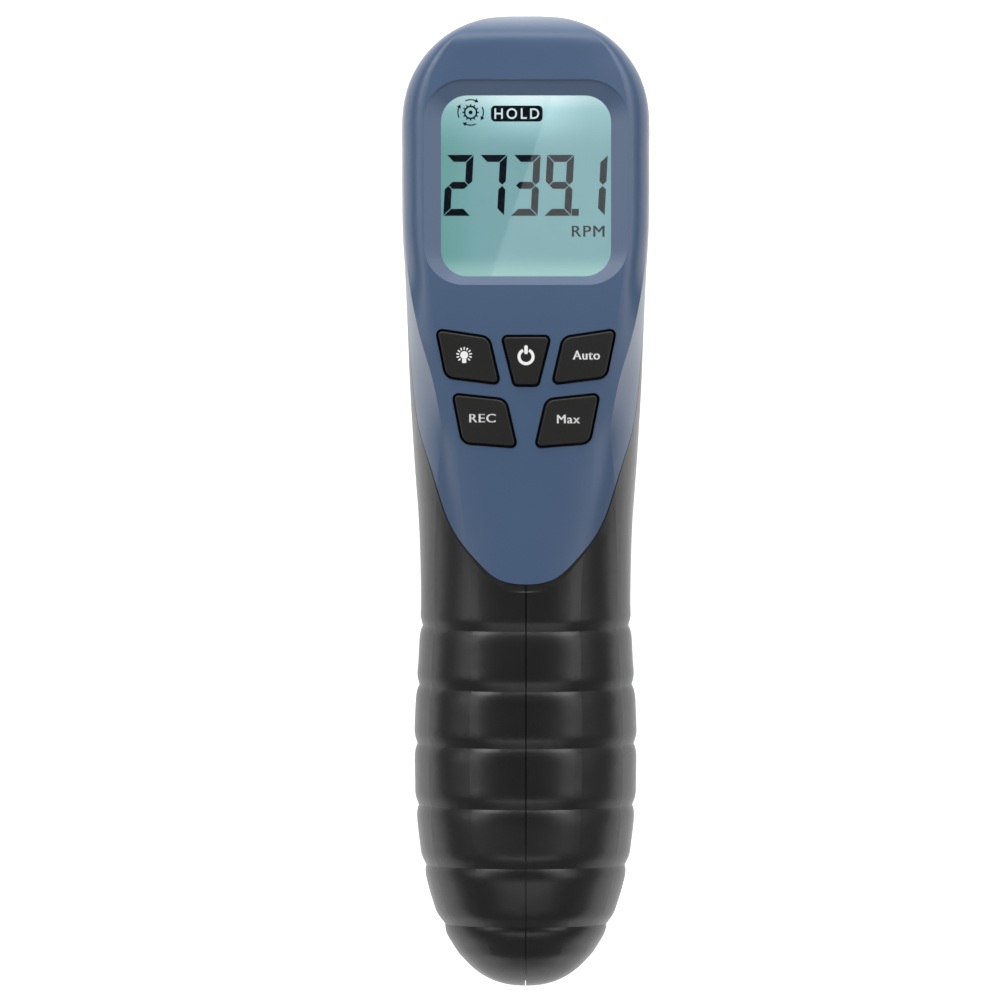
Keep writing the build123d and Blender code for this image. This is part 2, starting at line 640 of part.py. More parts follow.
def key(name, inner):
    """A key cap with its retaining flange and its stem."""
    cap = extrude(Pos(0, 0, FLANGE_Z) * key_plan(name, -KEY_GAP), FACE_Z)
    cap = split(cap, bisect_by=key_top(name), keep=Keep.BOTTOM)
    top_face = cap.faces().sort_by(Axis.Z)[-1]
    cap = fillet(top_face.edges(), KEY_EDGE)
    flange = extrude(Pos(0, 0, FLANGE_Z) * key_plan(name, FLANGE), FACE_Z) & inner
    x, y = key_middle(name)
    stem = upright(x, y, STEM_DIAMETER, STEM_Z, FLANGE_Z)
    return cap + flange + stem


def window_cut():
    """Sunk bezel with sloping walls, the window through its floor and the lens pocket behind."""
    floor_z = FACE_Z - BEZEL_DEPTH
    outer_height = WINDOW_HEIGHT + BEZEL_TOP + BEZEL_BOTTOM
    outer_y = WINDOW_Y + (BEZEL_TOP - BEZEL_BOTTOM) / 2
    outer_width = WINDOW_WIDTH + 2 * BEZEL_SIDE
    inner = Pos(0, WINDOW_Y, floor_z) * RectangleRounded(WINDOW_WIDTH, WINDOW_HEIGHT, WINDOW_CORNER)
    outer_plan = RectangleRounded(outer_width, outer_height, BEZEL_CORNER)
    outer = Pos(0, outer_y, FACE_Z - BEZEL_EDGE) * outer_plan
    slope = loft([inner, outer], ruled=True)
    above = extrude(outer, FACE_Z)
    window = extrude(Pos(0, 0, -BEZEL_DEPTH) * inner, 2 * BEZEL_DEPTH)
    pocket = rounded_box(POCKET_WIDTH, POCKET_HEIGHT, WINDOW_CORNER + LENS_MARGIN, WINDOW_Y,
                         GLASS_TOP_Z - 1, LIP_Z)
    return [slope, above, window, pocket]


def face_cover(outer, inner):
    """Blue shell of the head with its window frame, key openings and board bosses."""
    cover = (outer - inner) & above_seam(SEAM_GAP / 2)
    frame = rounded_box(PAD_WIDTH, PAD_HEIGHT, PAD_CORNER, WINDOW_Y, GLASS_TOP_Z, FACE_Z) & outer
    bosses = [upright(x, y, BOARD_BOSS, BOARD_TOP_Z, FACE_Z) & outer for x, y in BOARD_SCREW_PLACES]
    cover = cover.fuse(frame, *bosses)
    hole_top = BOARD_TOP_Z + BOARD_SCREW_LENGTH + SCREW_END_ROOM
    holes = [upright(x, y, BOARD_SCREW_DIAMETER + SCREW_FIT, BOARD_Z, hole_top) for x, y in BOARD_SCREW_PLACES]
    slots = [extrude(Pos(0, 0, BOARD_TOP_Z) * key_plan(name, 0), FACE_Z) for name in key_openings()]
    return cover.cut(*window_cut(), *holes, *slots)


def tilted(solid):
    """Puts a solid of the battery's own frame at the battery's place in the grip."""
    return Pos(0, BATTERY_Y, BATTERY_Z) * Rot(BATTERY_TILT, 0, 0) * solid


def battery_room():
    """Space that the battery, its snap and its way out through the door need."""
    room = BATTERY_CLEARANCE
    length = BATTERY_CASE_LENGTH + 2 * (SNAP_THICK + TERMINAL_HEIGHT)
    block_room = tilted(Box(BATTERY_WIDTH + 2 * room, length, BATTERY_THICK + 2 * room))
    way_out = block(-DOOR_WIDTH / 2, DOOR_WIDTH / 2, DOOR_END_Y, HINGE_Y + DOOR_REACH, 0, BATTERY_Z)
    return block_room + way_out


def cross_ribs(outer):
    """Ribs across the grip that hold the battery by its sides."""
    room = battery_room()
    slabs = [block(-FAR, FAR, y - RIB_THICK / 2, y + RIB_THICK / 2, 0, FAR) & outer for y in RIB_PLACES]
    return [slab - room for slab in slabs]


def door_opening(gap):
    """Space of the battery door, wider by a gap on its sides and its ends."""
    half = DOOR_WIDTH / 2 + gap
    sides = block(-half, half, DOOR_END_Y - gap, 0, -FAR, BATTERY_Z - BATTERY_THICK / 4)
    return sides & crosswise(HINGE_Y, HINGE_Z, 2 * (DOOR_REACH + gap), -half, half)


def hinge_notch():
    """Room in the heel for the door's knuckle and the strap that carries it."""
    half = KNUCKLE_LENGTH / 2 + KNUCKLE_GAP
    round_room = crosswise(HINGE_Y, HINGE_Z, KNUCKLE_DIAMETER + 2 * KNUCKLE_GAP, -half, half)
    below = block(-half, half, HINGE_Y - KNUCKLE_DIAMETER / 2 - KNUCKLE_GAP, DOOR_END_Y, -1, HINGE_Z)
    strap = block(-half, half, HINGE_Y, DOOR_END_Y, HINGE_Z, HINGE_Z + WALL + 1)
    return [round_room, below, strap]


def trigger_slot():
    """Opening under the head that the trigger moves in."""
    half = TRIGGER_WIDTH / 2 + TRIGGER_GAP
    sides = block(-half, half, 0, SLOT_TOP_Y, -1, PIVOT_Z)
    return sides & crosswise(PIVOT_Y, PIVOT_Z, 2 * (TRIGGER_REACH + TRIGGER_GAP), -half, half)


def split_line():
    """Narrow line sunk into the black surface, along the split of the halves."""
    half = SPLIT_LINE / 2
    return block(-half, half, -FAR, FAR, -FAR, FAR) - hollow_form(GROOVE_DEPTH + LINE_DEPTH)


def lower_body(outer, inner):
    """Both black halves in one, before they are parted on the middle plane."""
    shell = (outer - inner) - above_seam(-SEAM_GAP / 2)
    bosses = [crosswise(y, z, BODY_BOSS, -FAR, FAR) & outer for y, z in BODY_SCREW_PLACES]
    pin_half = TRIGGER_WIDTH / 2 + TRIGGER_GAP
    pin_bosses = [crosswise(PIVOT_Y, PIVOT_Z, PIN_BOSS, pin_half, FAR) & outer,
                  crosswise(PIVOT_Y, PIVOT_Z, PIN_BOSS, -FAR, -pin_half) & outer]
    shell = shell.fuse(*bosses, *pin_bosses, *cross_ribs(outer))
    nose = rounded_box(NOSE_WIDTH + 2 * NOSE_FIT, NOSE_HEIGHT + 2 * NOSE_FIT, NOSE_CORNER, NOSE_Y, -1,
                       NOSE_SKIRT_Z)
    pin = crosswise(PIVOT_Y, PIVOT_Z, PIN_DIAMETER + FIT, -PIN_LENGTH / 2 - FIT, PIN_LENGTH / 2 + FIT)
    hinge_pin = crosswise(HINGE_Y, HINGE_Z, HINGE_PIN_DIAMETER + FIT, -HINGE_PIN_LENGTH / 2 - FIT,
                          HINGE_PIN_LENGTH / 2 + FIT)
    wells = [crosswise(y, z, BODY_SCREW_HEAD + HEAD_CLEARANCE, -FAR, -BODY_SCREW_SEAT)
             for y, z in BODY_SCREW_PLACES]
    bores = [crosswise(y, z, BODY_SCREW_DIAMETER + SCREW_FIT, -BODY_SCREW_SEAT - FIT,
                       BODY_SCREW_LENGTH - BODY_SCREW_SEAT + 1) for y, z in BODY_SCREW_PLACES]
    shell = shell.cut(nose, pin, trigger_slot(), door_opening(DOOR_GAP), *hinge_notch(), *wells, *bores)
    return shell.cut(hinge_pin)


def spring_shelf(outer):
    """Shelf of the left half that the trigger spring bears on."""
    low = block(-FAR, SHELF_END_X, SPRING_Y - SHELF_LENGTH / 2, SPRING_Y + SHELF_LENGTH / 2,
                SHELF_Z, SHELF_Z + SHELF_THICK)
    return low & outer


def body_half(whole, side):
    """One black half with its split line: side -1 is the left one and side 1 the right one."""
    keep = block(min(0, side * FAR), max(0, side * FAR), -FAR, FAR, -FAR, FAR)
    return (whole & keep) - split_line()


def battery_door(outer, inner):
    """Door over the battery with the knuckle it turns on."""
    panel = (outer - inner) & door_opening(0)
    knuckle = crosswise(HINGE_Y, HINGE_Z, KNUCKLE_DIAMETER, -KNUCKLE_LENGTH / 2, KNUCKLE_LENGTH / 2)
    strap = block(-KNUCKLE_LENGTH / 2, KNUCKLE_LENGTH / 2, HINGE_Y, DOOR_END_Y + KNUCKLE_GAP,
                  HINGE_Z - KNUCKLE_DIAMETER / 2, HINGE_Z + KNUCKLE_DIAMETER / 2)
    strap = (strap & outer) + knuckle
    bore = crosswise(HINGE_Y, HINGE_Z, HINGE_PIN_DIAMETER + 2 * FIT, -FAR, FAR)
    return (panel + strap) - bore


def battery_pad(inner):
    """Foam pad on the door that presses on the battery."""
    lowest = -BATTERY_THICK / 2 - BATTERY_PAD_GAP
    slab = Pos(0, 0, lowest - BATTERY_THICK / 2) * Box(BATTERY_PAD_WIDTH, BATTERY_PAD_LENGTH, BATTERY_THICK)
    return tilted(slab) & inner


def battery():
    """Nine-volt block with its two snap terminals."""
    case = Box(BATTERY_WIDTH, BATTERY_CASE_LENGTH, BATTERY_THICK)
    case = fillet(case.edges().filter_by(Axis.Y), BATTERY_CORNER)
    end = BATTERY_CASE_LENGTH / 2
    along = Rot(90, 0, 0)
    middle = end + TERMINAL_HEIGHT / 2
    small = Pos(-TERMINAL_SPACING / 2, middle, 0) * along * Cylinder(SMALL_TERMINAL / 2, TERMINAL_HEIGHT)
    large = Pos(TERMINAL_SPACING / 2, middle, 0) * along * Cylinder(LARGE_TERMINAL / 2, TERMINAL_HEIGHT)
    return tilted(case + small + large)


def battery_snap():
    """Snap connector that plugs over the battery's terminals."""
    start = BATTERY_CASE_LENGTH / 2 + FIT
    plate = Pos(0, start + SNAP_THICK / 2, 0) * Box(SNAP_WIDTH, SNAP_THICK, SNAP_HEIGHT)
    plate = fillet(plate.edges().filter_by(Axis.Y), BATTERY_CORNER)
    along = Rot(90, 0, 0)
    depth = TERMINAL_HEIGHT + TERMINAL_FIT
    for x, diameter in ((-TERMINAL_SPACING / 2, SMALL_TERMINAL), (TERMINAL_SPACING / 2, LARGE_TERMINAL)):
        socket = Cylinder(diameter / 2 + TERMINAL_FIT, depth)
        plate -= Pos(x, start + depth / 2 - FIT, 0) * along * socket
    return tilted(plate)


def lead_route(x):
    """Route of one battery lead, from the snap to the underside of the main board."""
    snap_end = BATTERY_CASE_LENGTH / 2 + FIT + SNAP_THICK
    turn = math.radians(BATTERY_TILT)
    start = (x, BATTERY_Y + snap_end * math.cos(turn), BATTERY_Z + snap_end * math.sin(turn))
    end_y = BOARD_BOTTOM_Y + 6.4
    points = [start, (x, start[1] + 7.0, start[2] + 1.3), (0.9 * x, start[1] + 15.0, start[2] + 1.8),
              (0.8 * x, start[1] + 23.0, start[2] + 2.4), (0.7 * x, end_y, start[2] + 2.6),
              (0.7 * x, end_y, BOARD_Z)]
    return [Vector(*point) for point in points]


def bend_radii(points):
    """Largest arc at each corner that leaves the runs beside it a straight stretch."""
    radii = []
    for before, here, after in zip(points, points[1:], points[2:]):
        turn = math.radians((here - before).get_angle(after - here))
        shorter = min((here - before).length, (after - here).length)
        radii.append(0.45 * shorter / math.tan(turn / 2))
    return radii


def battery_leads():
    """Two insulated leads along straight runs joined by arcs."""
    leads = []
    for x in (-BATTERY_LEAD_SPACING / 2, BATTERY_LEAD_SPACING / 2):
        points = lead_route(x)
        radii = bend_radii(points)
        print("battery lead radii", [round(radius, 1) for radius in radii])
        path = FilletPolyline(*points, radius=radii)
        plane = Plane(origin=points[0], z_dir=points[1] - points[0])
        lead = sweep(plane * Circle(LEAD_DIAMETER / 2), path=path)
        expected = math.pi * LEAD_DIAMETER ** 2 / 4 * path.length
        print("battery lead volume", round(lead.volume, 2), "section times length", round(expected, 2))
        leads.append(lead)
    return Compound(children=leads)


def nose_plan(inset):
    """Outline of the nose, smaller by an inset all round."""
    return RectangleRounded(NOSE_WIDTH - 2 * inset, NOSE_HEIGHT - 2 * inset, NOSE_CORNER - inset)


def nose_bezel():
    """Nose moulding with its flat front, a skirt into the head and two openings."""
    solid = extrude(Pos(0, NOSE_Y, 0) * nose_plan(0), NOSE_SKIRT_Z)
    solid = fillet(solid.edges().group_by(Axis.Z)[0], NOSE_EDGE)
    hollow = extrude(Pos(0, NOSE_Y, NOSE_PLATE) * nose_plan(NOSE_SKIRT_WALL), NOSE_SKIRT_Z)
    on_floor = (Align.CENTER, Align.CENTER, Align.MIN)
    for y, opening in ((LENS_Y, LENS_OPENING), (LASER_Y, LASER_OPENING)):
        flared = Cone(opening / 2 + OPENING_FLARE, opening / 2, NOSE_PLATE, align=on_floor)
        hollow += Pos(0, y, 0) * flared
    return solid - hollow


def receiver_lens():
    """Plano-convex lens that gathers the returned light."""
    rim = upright(0, LENS_Y, LENS_DIAMETER, NOSE_PLATE, NOSE_PLATE + LENS_RIM)
    base = LENS_OPENING / 2 - LENS_BULGE_ROOM
    radius = (base ** 2 + LENS_BULGE ** 2) / (2 * LENS_BULGE)
    ball = Pos(0, LENS_Y, NOSE_PLATE - LENS_BULGE + radius) * Sphere(radius)
    bulge = ball & upright(0, LENS_Y, 2 * base, 0, NOSE_PLATE)
    return rim + bulge


def optics_holder():
    """Holder with a lens tube and a laser sleeve on one base plate."""
    base_plan = Pos(0, NOSE_Y, NOSE_PLATE) * nose_plan(NOSE_SKIRT_WALL + 2 * FIT)
    base = extrude(base_plan, HOLDER_BASE)
    lens_tube = upright(0, LENS_Y, LENS_DIAMETER + 2 * SLEEVE_WALL, NOSE_PLATE, HOLDER_TOP_Z)
    laser_tube = upright(0, LASER_Y, LASER_DIAMETER + 2 * SLEEVE_WALL, NOSE_PLATE, HOLDER_TOP_Z)
    pocket = upright(0, LENS_Y, LENS_DIAMETER + 2 * FIT, NOSE_PLATE, NOSE_PLATE + LENS_RIM)
    tube_bore = upright(0, LENS_Y, LENS_OPENING, NOSE_PLATE, HOLDER_TOP_Z)
    laser_bore = upright(0, LASER_Y, LASER_DIAMETER + 2 * FIT, NOSE_PLATE, HOLDER_TOP_Z)
    return (base + lens_tube + laser_tube) - pocket - tube_bore - laser_bore


def laser_module():
    """Brass barrel of the laser, bored at its front for the lens."""
    barrel = upright(0, LASER_Y, LASER_DIAMETER, NOSE_PLATE, NOSE_PLATE + LASER_LENGTH)
    depth = 2 * LASER_LENS_THICK
    bore = upright(0, LASER_Y, LASER_LENS_DIAMETER + 2 * FIT, NOSE_PLATE, NOSE_PLATE + depth)
    return barrel - bore


def laser_lens():
    """Small collimating lens in the front of the laser barrel."""
    front = NOSE_PLATE + LASER_LENS_THICK
    return upright(0, LASER_Y, LASER_LENS_DIAMETER, front, front + LASER_LENS_THICK)


def sensor_board():
    """Small board that closes the lens tube."""
    return block(-SENSOR_BOARD_WIDTH / 2, SENSOR_BOARD_WIDTH / 2, LENS_Y - SENSOR_BOARD_LENGTH / 2,
                 LENS_Y + SENSOR_BOARD_LENGTH / 2, HOLDER_TOP_Z, HOLDER_TOP_Z + BOARD_THICK)


def sensor_ribbon():
    """Flat ribbon from the sensor board to the main board."""
    return block(-RIBBON_WIDTH / 2, RIBBON_WIDTH / 2, RIBBON_Y, RIBBON_Y + RIBBON_THICK,
                 HOLDER_TOP_Z + BOARD_THICK, BOARD_Z)


def laser_leads():
    """Two short straight leads from the laser to the main board."""
    top = NOSE_PLATE + LASER_LENGTH
    places = (-LASER_LEAD_SPACING / 2, LASER_LEAD_SPACING / 2)
    return Compound(children=[upright(x, LASER_Y, LEAD_DIAMETER, top, BOARD_Z) for x in places])


def trigger():
    """Finger trigger with its eye, and the arm that works the switch."""
    half = TRIGGER_WIDTH / 2
    top_y = PIVOT_Y + TRIGGER_SHOULDER - TRIGGER_GAP
    end_y = PIVOT_Y - TRIGGER_REACH - 3.0
    curve = [(0, PIVOT_Y - reach, PIVOT_Z + height) for reach, height in TRIGGER_FACE]
    low_z = curve[-1][2]
    face = Spline(*curve)
    rest = Polyline(curve[-1], (0, end_y, low_z), (0, end_y, TRIGGER_BACK_Z),
                    (0, PIVOT_Y - TRIGGER_EYE, TRIGGER_BACK_Z), (0, PIVOT_Y, PIVOT_Z + TRIGGER_EYE),
                    (0, top_y, PIVOT_Z), curve[0])
    side = make_face([face, rest])
    lever = extrude(side, half, dir=(1, 0, 0), both=True)
    lever &= crosswise(PIVOT_Y, PIVOT_Z, 2 * TRIGGER_REACH, -half, half)
    front = [edge for edge in lever.edges() if edge.center().Z < PIVOT_Z - 2 * TRIGGER_EYE]
    sides = [edge for edge in front if abs(abs(edge.center().X) - half) < FIT and edge.length > TRIGGER_EYE]
    lever = fillet(sides, TRIGGER_EDGE)
    arm = block(-ARM_WIDTH / 2, ARM_WIDTH / 2, ARM_Y - ARM_LENGTH / 2, ARM_Y + ARM_LENGTH / 2,
                TRIGGER_BACK_Z - 1, ARM_TOP_Z)
    bore = crosswise(PIVOT_Y, PIVOT_Z, PIN_DIAMETER + 2 * FIT, -FAR, FAR)
    return (lever + arm) - bore


def trigger_spring():
    """Compression spring between the trigger and the shelf."""
    low = TRIGGER_BACK_Z + SPRING_WIRE / 2
    height = SHELF_Z - TRIGGER_BACK_Z - SPRING_WIRE
    radius = (SPRING_DIAMETER - SPRING_WIRE) / 2
    path = Helix(pitch=height / SPRING_TURNS, height=height, radius=radius, center=(0, SPRING_Y, low))
    start = Plane(origin=path @ 0, z_dir=path % 0)
    return sweep(start * Circle(SPRING_WIRE / 2), path=path, is_frenet=True)


def trigger_switch():
    """Small switch on the underside of the main board, bored for its plunger."""
    middle = ARM_Y + SWITCH_OFFSET
    housing = block(-SWITCH_WIDTH / 2, SWITCH_WIDTH / 2, middle - SWITCH_LENGTH / 2, middle + SWITCH_LENGTH / 2,
                    SWITCH_Z, BOARD_Z)
    return housing - upright(0, ARM_Y, PLUNGER_DIAMETER + 2 * FIT, SWITCH_Z, SWITCH_Z + SWITCH_BORE_DEPTH)


def switch_plunger():
    """Pin of the switch that the trigger's arm pushes in."""
    return upright(0, ARM_Y, PLUNGER_DIAMETER, ARM_TOP_Z + PLUNGER_GAP, SWITCH_Z + PLUNGER_INSIDE)


def display_lens():
    """Clear window plate held behind the lip of the cover."""
    return rounded_box(WINDOW_WIDTH + 2 * LENS_MARGIN, WINDOW_HEIGHT + 2 * LENS_MARGIN,
                       WINDOW_CORNER + LENS_MARGIN - LENS_FIT, WINDOW_Y, LENS_Z, LIP_Z)


def lens_gasket():
    """Thin foam ring between the lens and the display glass."""
    inset = 2 * GASKET_INSET
    width = WINDOW_WIDTH + 2 * LENS_MARGIN - inset
    height = WINDOW_HEIGHT + 2 * LENS_MARGIN - inset
    ring = rounded_box(width, height, WINDOW_CORNER + LENS_MARGIN, WINDOW_Y, GLASS_TOP_Z, LENS_Z)
    return ring - rounded_box(WINDOW_WIDTH + inset, WINDOW_HEIGHT + inset, WINDOW_CORNER, WINDOW_Y,
                              GLASS_TOP_Z, LENS_Z)


def lcd_glass():
    """Liquid-crystal glass of the display."""
    return block(-WINDOW_WIDTH / 2 - LENS_MARGIN, WINDOW_WIDTH / 2 + LENS_MARGIN,
                 WINDOW_Y - WINDOW_HEIGHT / 2 - LENS_MARGIN, WINDOW_Y + WINDOW_HEIGHT / 2 + LENS_MARGIN,
                 GLASS_Z, GLASS_TOP_Z)


def lcd_holder(inner):
    """Moulded frame that holds the display glass over the board."""
    frame = rounded_box(PAD_WIDTH, PAD_HEIGHT, PAD_CORNER, WINDOW_Y, BOARD_TOP_Z, GLASS_TOP_Z) & inner
    half = WINDOW_WIDTH / 2 + LENS_MARGIN + LENS_FIT
    high = WINDOW_HEIGHT / 2 + LENS_MARGIN + LENS_FIT
    return frame - block(-half, half, WINDOW_Y - high, WINDOW_Y + high, BOARD_TOP_Z, GLASS_TOP_Z)


def contact_strip(side):
    """Elastomer strip that joins the glass to the board, side 1 at the top and -1 at the bottom."""
    y = WINDOW_Y + side * (WINDOW_HEIGHT / 2 + LENS_MARGIN - STRIP_WIDTH / 2)
    return block(-WINDOW_WIDTH / 2, WINDOW_WIDTH / 2, y - STRIP_WIDTH / 2, y + STRIP_WIDTH / 2,
                 BOARD_TOP_Z, GLASS_Z)


def backlight_guide():
    """Clear slab that spreads the backlight behind the glass."""
    high = WINDOW_HEIGHT / 2 + LENS_MARGIN - STRIP_WIDTH - GUIDE_GAP
    return block(-WINDOW_WIDTH / 2, WINDOW_WIDTH / 2, WINDOW_Y - high, WINDOW_Y + high, BOARD_TOP_Z, GLASS_Z)


def figure_bars(figure, right):
    """Bars of one figure, whose right side stands at a given place, mitred where they meet at a corner."""
    stroke = DIGIT_STROKE
    split = SEGMENT_SPLIT
    left, top, bottom = right - DIGIT_WIDTH, DIGIT_TOP, DIGIT_TOP - DIGIT_HEIGHT
    middle = (bottom + top) / 2

    def cap(y, inward):
        """Top or bottom bar, with its long side outwards. The number inward is -1 at the top."""
        inner = y + inward * stroke
        return [(left + split, y), (right - split, y), (right - stroke - split, inner),
                (left + stroke + split, inner)]

    def side(x, inward, y, towards_middle):
        """Side bar from a corner to its point at the middle. The number inward is -1 on the right."""
        inner = x + inward * stroke
        reach = middle - towards_middle * split
        return [(x, y + towards_middle * split), (inner, y + towards_middle * (split + stroke)),
                (inner, reach - towards_middle * stroke / 2), (x + inward * stroke / 2, reach),
                (x, reach - towards_middle * stroke / 2)]

    bridge = [(left + stroke / 2 + split, middle), (left + stroke + split, middle + stroke / 2),
              (right - stroke - split, middle + stroke / 2), (right - stroke / 2 - split, middle),
              (right - stroke - split, middle - stroke / 2), (left + stroke + split, middle - stroke / 2)]
    bars = {
        "a": cap(top, -1),
        "b": side(right, -1, top, -1),
        "c": side(right, -1, bottom, 1),
        "d": cap(bottom, 1),
        "e": side(left, 1, bottom, 1),
        "f": side(left, 1, top, -1),
        "g": bridge,
    }
    lit = {"1": "bc", "2": "abged", "3": "abgcd", "7": "abc", "9": "abcdfg"}
    return [bars[bar] for bar in lit[figure]]


def lcd_segments():
    """Dark bars of the shown reading, thin on the display glass."""
    slope = math.tan(math.radians(DIGIT_SLANT))
    bottom = DIGIT_TOP - DIGIT_HEIGHT

    def slanted(corners):
        return [(x + (y - DIGIT_TOP) * slope, y) for x, y in corners]

    shapes = []
    for index, figure in enumerate(READING):
        shapes += [slanted(bar) for bar in figure_bars(figure, DIGIT_RIGHT + index * DIGIT_PITCH)]
    left = DIGIT_RIGHT + 3 * DIGIT_PITCH + POINT_OFFSET
    right, top = left + DIGIT_STROKE, bottom + DIGIT_STROKE
    point = [(left, bottom), (right, bottom), (right, top), (left, top)]
    shapes.append(slanted(point))
    solids = []
    for corners in shapes:
        outline = Polyline(*[(x, y, GLASS_TOP_Z) for x, y in corners], close=True)
        solids.append(extrude(make_face(outline), SEGMENT_THICK, dir=(0, 0, 1)))
    return Compound(children=solids)


def main_board():
    """Printed board under the display and the keys."""
    head = rounded_box(BOARD_HEAD_WIDTH, BOARD_TOP_Y - BOARD_STEP_Y, 4 * BOARD_CORNER,
                       (BOARD_TOP_Y + BOARD_STEP_Y) / 2, BOARD_Z, BOARD_TOP_Z)
    step = rounded_box(BOARD_HEAD_WIDTH, WINDOW_Y - BOARD_STEP_Y, BOARD_CORNER,
                       (WINDOW_Y + BOARD_STEP_Y) / 2, BOARD_Z, BOARD_TOP_Z)
    neck = rounded_box(BOARD_NECK_WIDTH, WINDOW_Y - BOARD_BOTTOM_Y, BOARD_CORNER,
                       (WINDOW_Y + BOARD_BOTTOM_Y) / 2, BOARD_Z, BOARD_TOP_Z)
    holes = [upright(x, y, BOARD_SCREW_DIAMETER + SCREW_FIT, BOARD_Z, BOARD_TOP_Z)
             for x, y in BOARD_SCREW_PLACES]
    return head.fuse(step, neck).cut(*holes)


def board_screws():
    """Screws that hold the main board to the bosses of the cover."""
    screws = []
    for x, y in BOARD_SCREW_PLACES:
        shank = upright(x, y, BOARD_SCREW_DIAMETER, BOARD_Z, BOARD_TOP_Z + BOARD_SCREW_LENGTH)
        head = upright(x, y, BOARD_SCREW_HEAD, BOARD_Z - BOARD_SCREW_HEAD_THICK, BOARD_Z)
        screws.append(shank + head)
    return Compound(children=screws)


def body_screws():
    """Screws from the left flank that join the two halves."""
    screws = []
    for y, z in BODY_SCREW_PLACES:
        seat = -BODY_SCREW_SEAT
        shank = crosswise(y, z, BODY_SCREW_DIAMETER, seat, seat + BODY_SCREW_LENGTH)
        head = crosswise(y, z, BODY_SCREW_HEAD, seat - BODY_SCREW_HEAD_THICK, seat)
        outside = seat - BODY_SCREW_HEAD_THICK
        inside = outside + DRIVE_DEPTH
        half = DRIVE_WIDTH / 2
        reach = BODY_SCREW_HEAD / 2 - DRIVE_RIM
        slot = block(outside, inside, y - half, y + half, z - reach, z + reach)
        cross = block(outside, inside, y - reach, y + reach, z - half, z + half)
        screws.append((shank + head) - slot - cross)
    return Compound(children=screws)


def keypad_mat():
    """Silicone mat on the board with a raised pad under each key."""
    width = BOARD_NECK_WIDTH - 2 * MAT_SIDE_ROOM
    height = KEYS_TOP_Y - KEYS_BOTTOM_Y + 2 * MAT_MARGIN
    mat = rounded_box(width, height, BOARD_CORNER, (KEYS_TOP_Y + KEYS_BOTTOM_Y) / 2,
                      BOARD_TOP_Z, BOARD_TOP_Z + MAT_THICK)
    pad_top = STEM_Z - KEY_TRAVEL - PAD_CLEARANCE
    pads = [upright(*key_middle(name), PAD_DIAMETER, BOARD_TOP_Z, pad_top) for name in key_openings()]
    return mat.fuse(*pads)


def board_parts():
    """Parts on the underside of the main board, by node name."""
    chip = block(-CHIP_SIZE / 2, CHIP_SIZE / 2, CHIP_Y - CHIP_SIZE / 2, CHIP_Y + CHIP_SIZE / 2,
                 BOARD_Z - CHIP_THICK, BOARD_Z)
    can = rounded_box(CRYSTAL_WIDTH, CRYSTAL_LENGTH, CRYSTAL_WIDTH / 2 - FIT, CHIP_Y,
                      BOARD_Z - CRYSTAL_THICK, BOARD_Z)
    can = Pos(CHIP_SIZE / 2 + CRYSTAL_ROOM + CRYSTAL_WIDTH / 2, 0, 0) * can
    return {"processor_chip": chip, "quartz_crystal": can}


def build():
    """Makes every piece, by node name."""
    outer = body_form()
    inner = hollow_form(WALL)
    under = hollow_form(WALL + FLANGE_CLEARANCE)
    whole = lower_body(outer, inner)
    shelf = spring_shelf(outer)
    pieces = {
        "face_cover": face_cover(outer, inner),
        "left_body_half": body_half(whole, -1) + shelf,
        "right_body_half": body_half(whole, 1),
        "battery_door": battery_door(outer, inner),
        "battery_pad": battery_pad(inner),
        "battery": battery(),
        "battery_snap": battery_snap(),
        "battery_leads": battery_leads(),
        "hinge_pin": crosswise(HINGE_Y, HINGE_Z, HINGE_PIN_DIAMETER,
                               -HINGE_PIN_LENGTH / 2, HINGE_PIN_LENGTH / 2),
        "display_lens": display_lens(),
        "lens_gasket": lens_gasket(),
        "lcd_glass": lcd_glass(),
        "lcd_segments": lcd_segments(),
        "lcd_holder": lcd_holder(under),
        "upper_contact_strip": contact_strip(1),
        "lower_contact_strip": contact_strip(-1),
        "backlight_guide": backlight_guide(),
        "main_board": main_board(),
        "board_screws": board_screws(),
        "body_screws": body_screws(),
        "keypad_mat": keypad_mat(),
        "nose_bezel": nose_bezel(),
        "receiver_lens": receiver_lens(),
        "optics_holder": optics_holder(),
        "laser_module": laser_module(),
        "laser_lens": laser_lens(),
        "laser_leads": laser_leads(),
        "receiver_sensor": upright(0, LENS_Y, SENSOR_DIAMETER, HOLDER_TOP_Z - SENSOR_THICK, HOLDER_TOP_Z),
        "sensor_board": sensor_board(),
        "sensor_ribbon": sensor_ribbon(),
        "trigger": trigger(),
        "trigger_pin": crosswise(PIVOT_Y, PIVOT_Z, PIN_DIAMETER, -PIN_LENGTH / 2, PIN_LENGTH / 2),
        "trigger_spring": trigger_spring(),
        "trigger_switch": trigger_switch(),
        "switch_plunger": switch_plunger(),
    }
    for name in key_openings():
        pieces[name] = key(name, under)
    pieces.update(board_parts())
    return pieces


os.makedirs("parts", exist_ok=True)
for name, piece in build().items():
    export_step(piece, f"parts/{name}.step")
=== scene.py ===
# %% [markdown]
# # A hand-held optical tachometer, finished in Blender
#
# The instrument counts turns by light: it looks at a turning shaft, and its display gives turns per
# minute. It lies face up. Its head, with the display, is at +Y, and its ribbed grip is at -Y.
#
# The solids come from a construction model and stay as they are. This lesson gives them their
# surfaces, prints the legends on the keys, lights the display, and sets up a small studio.

import json
import math

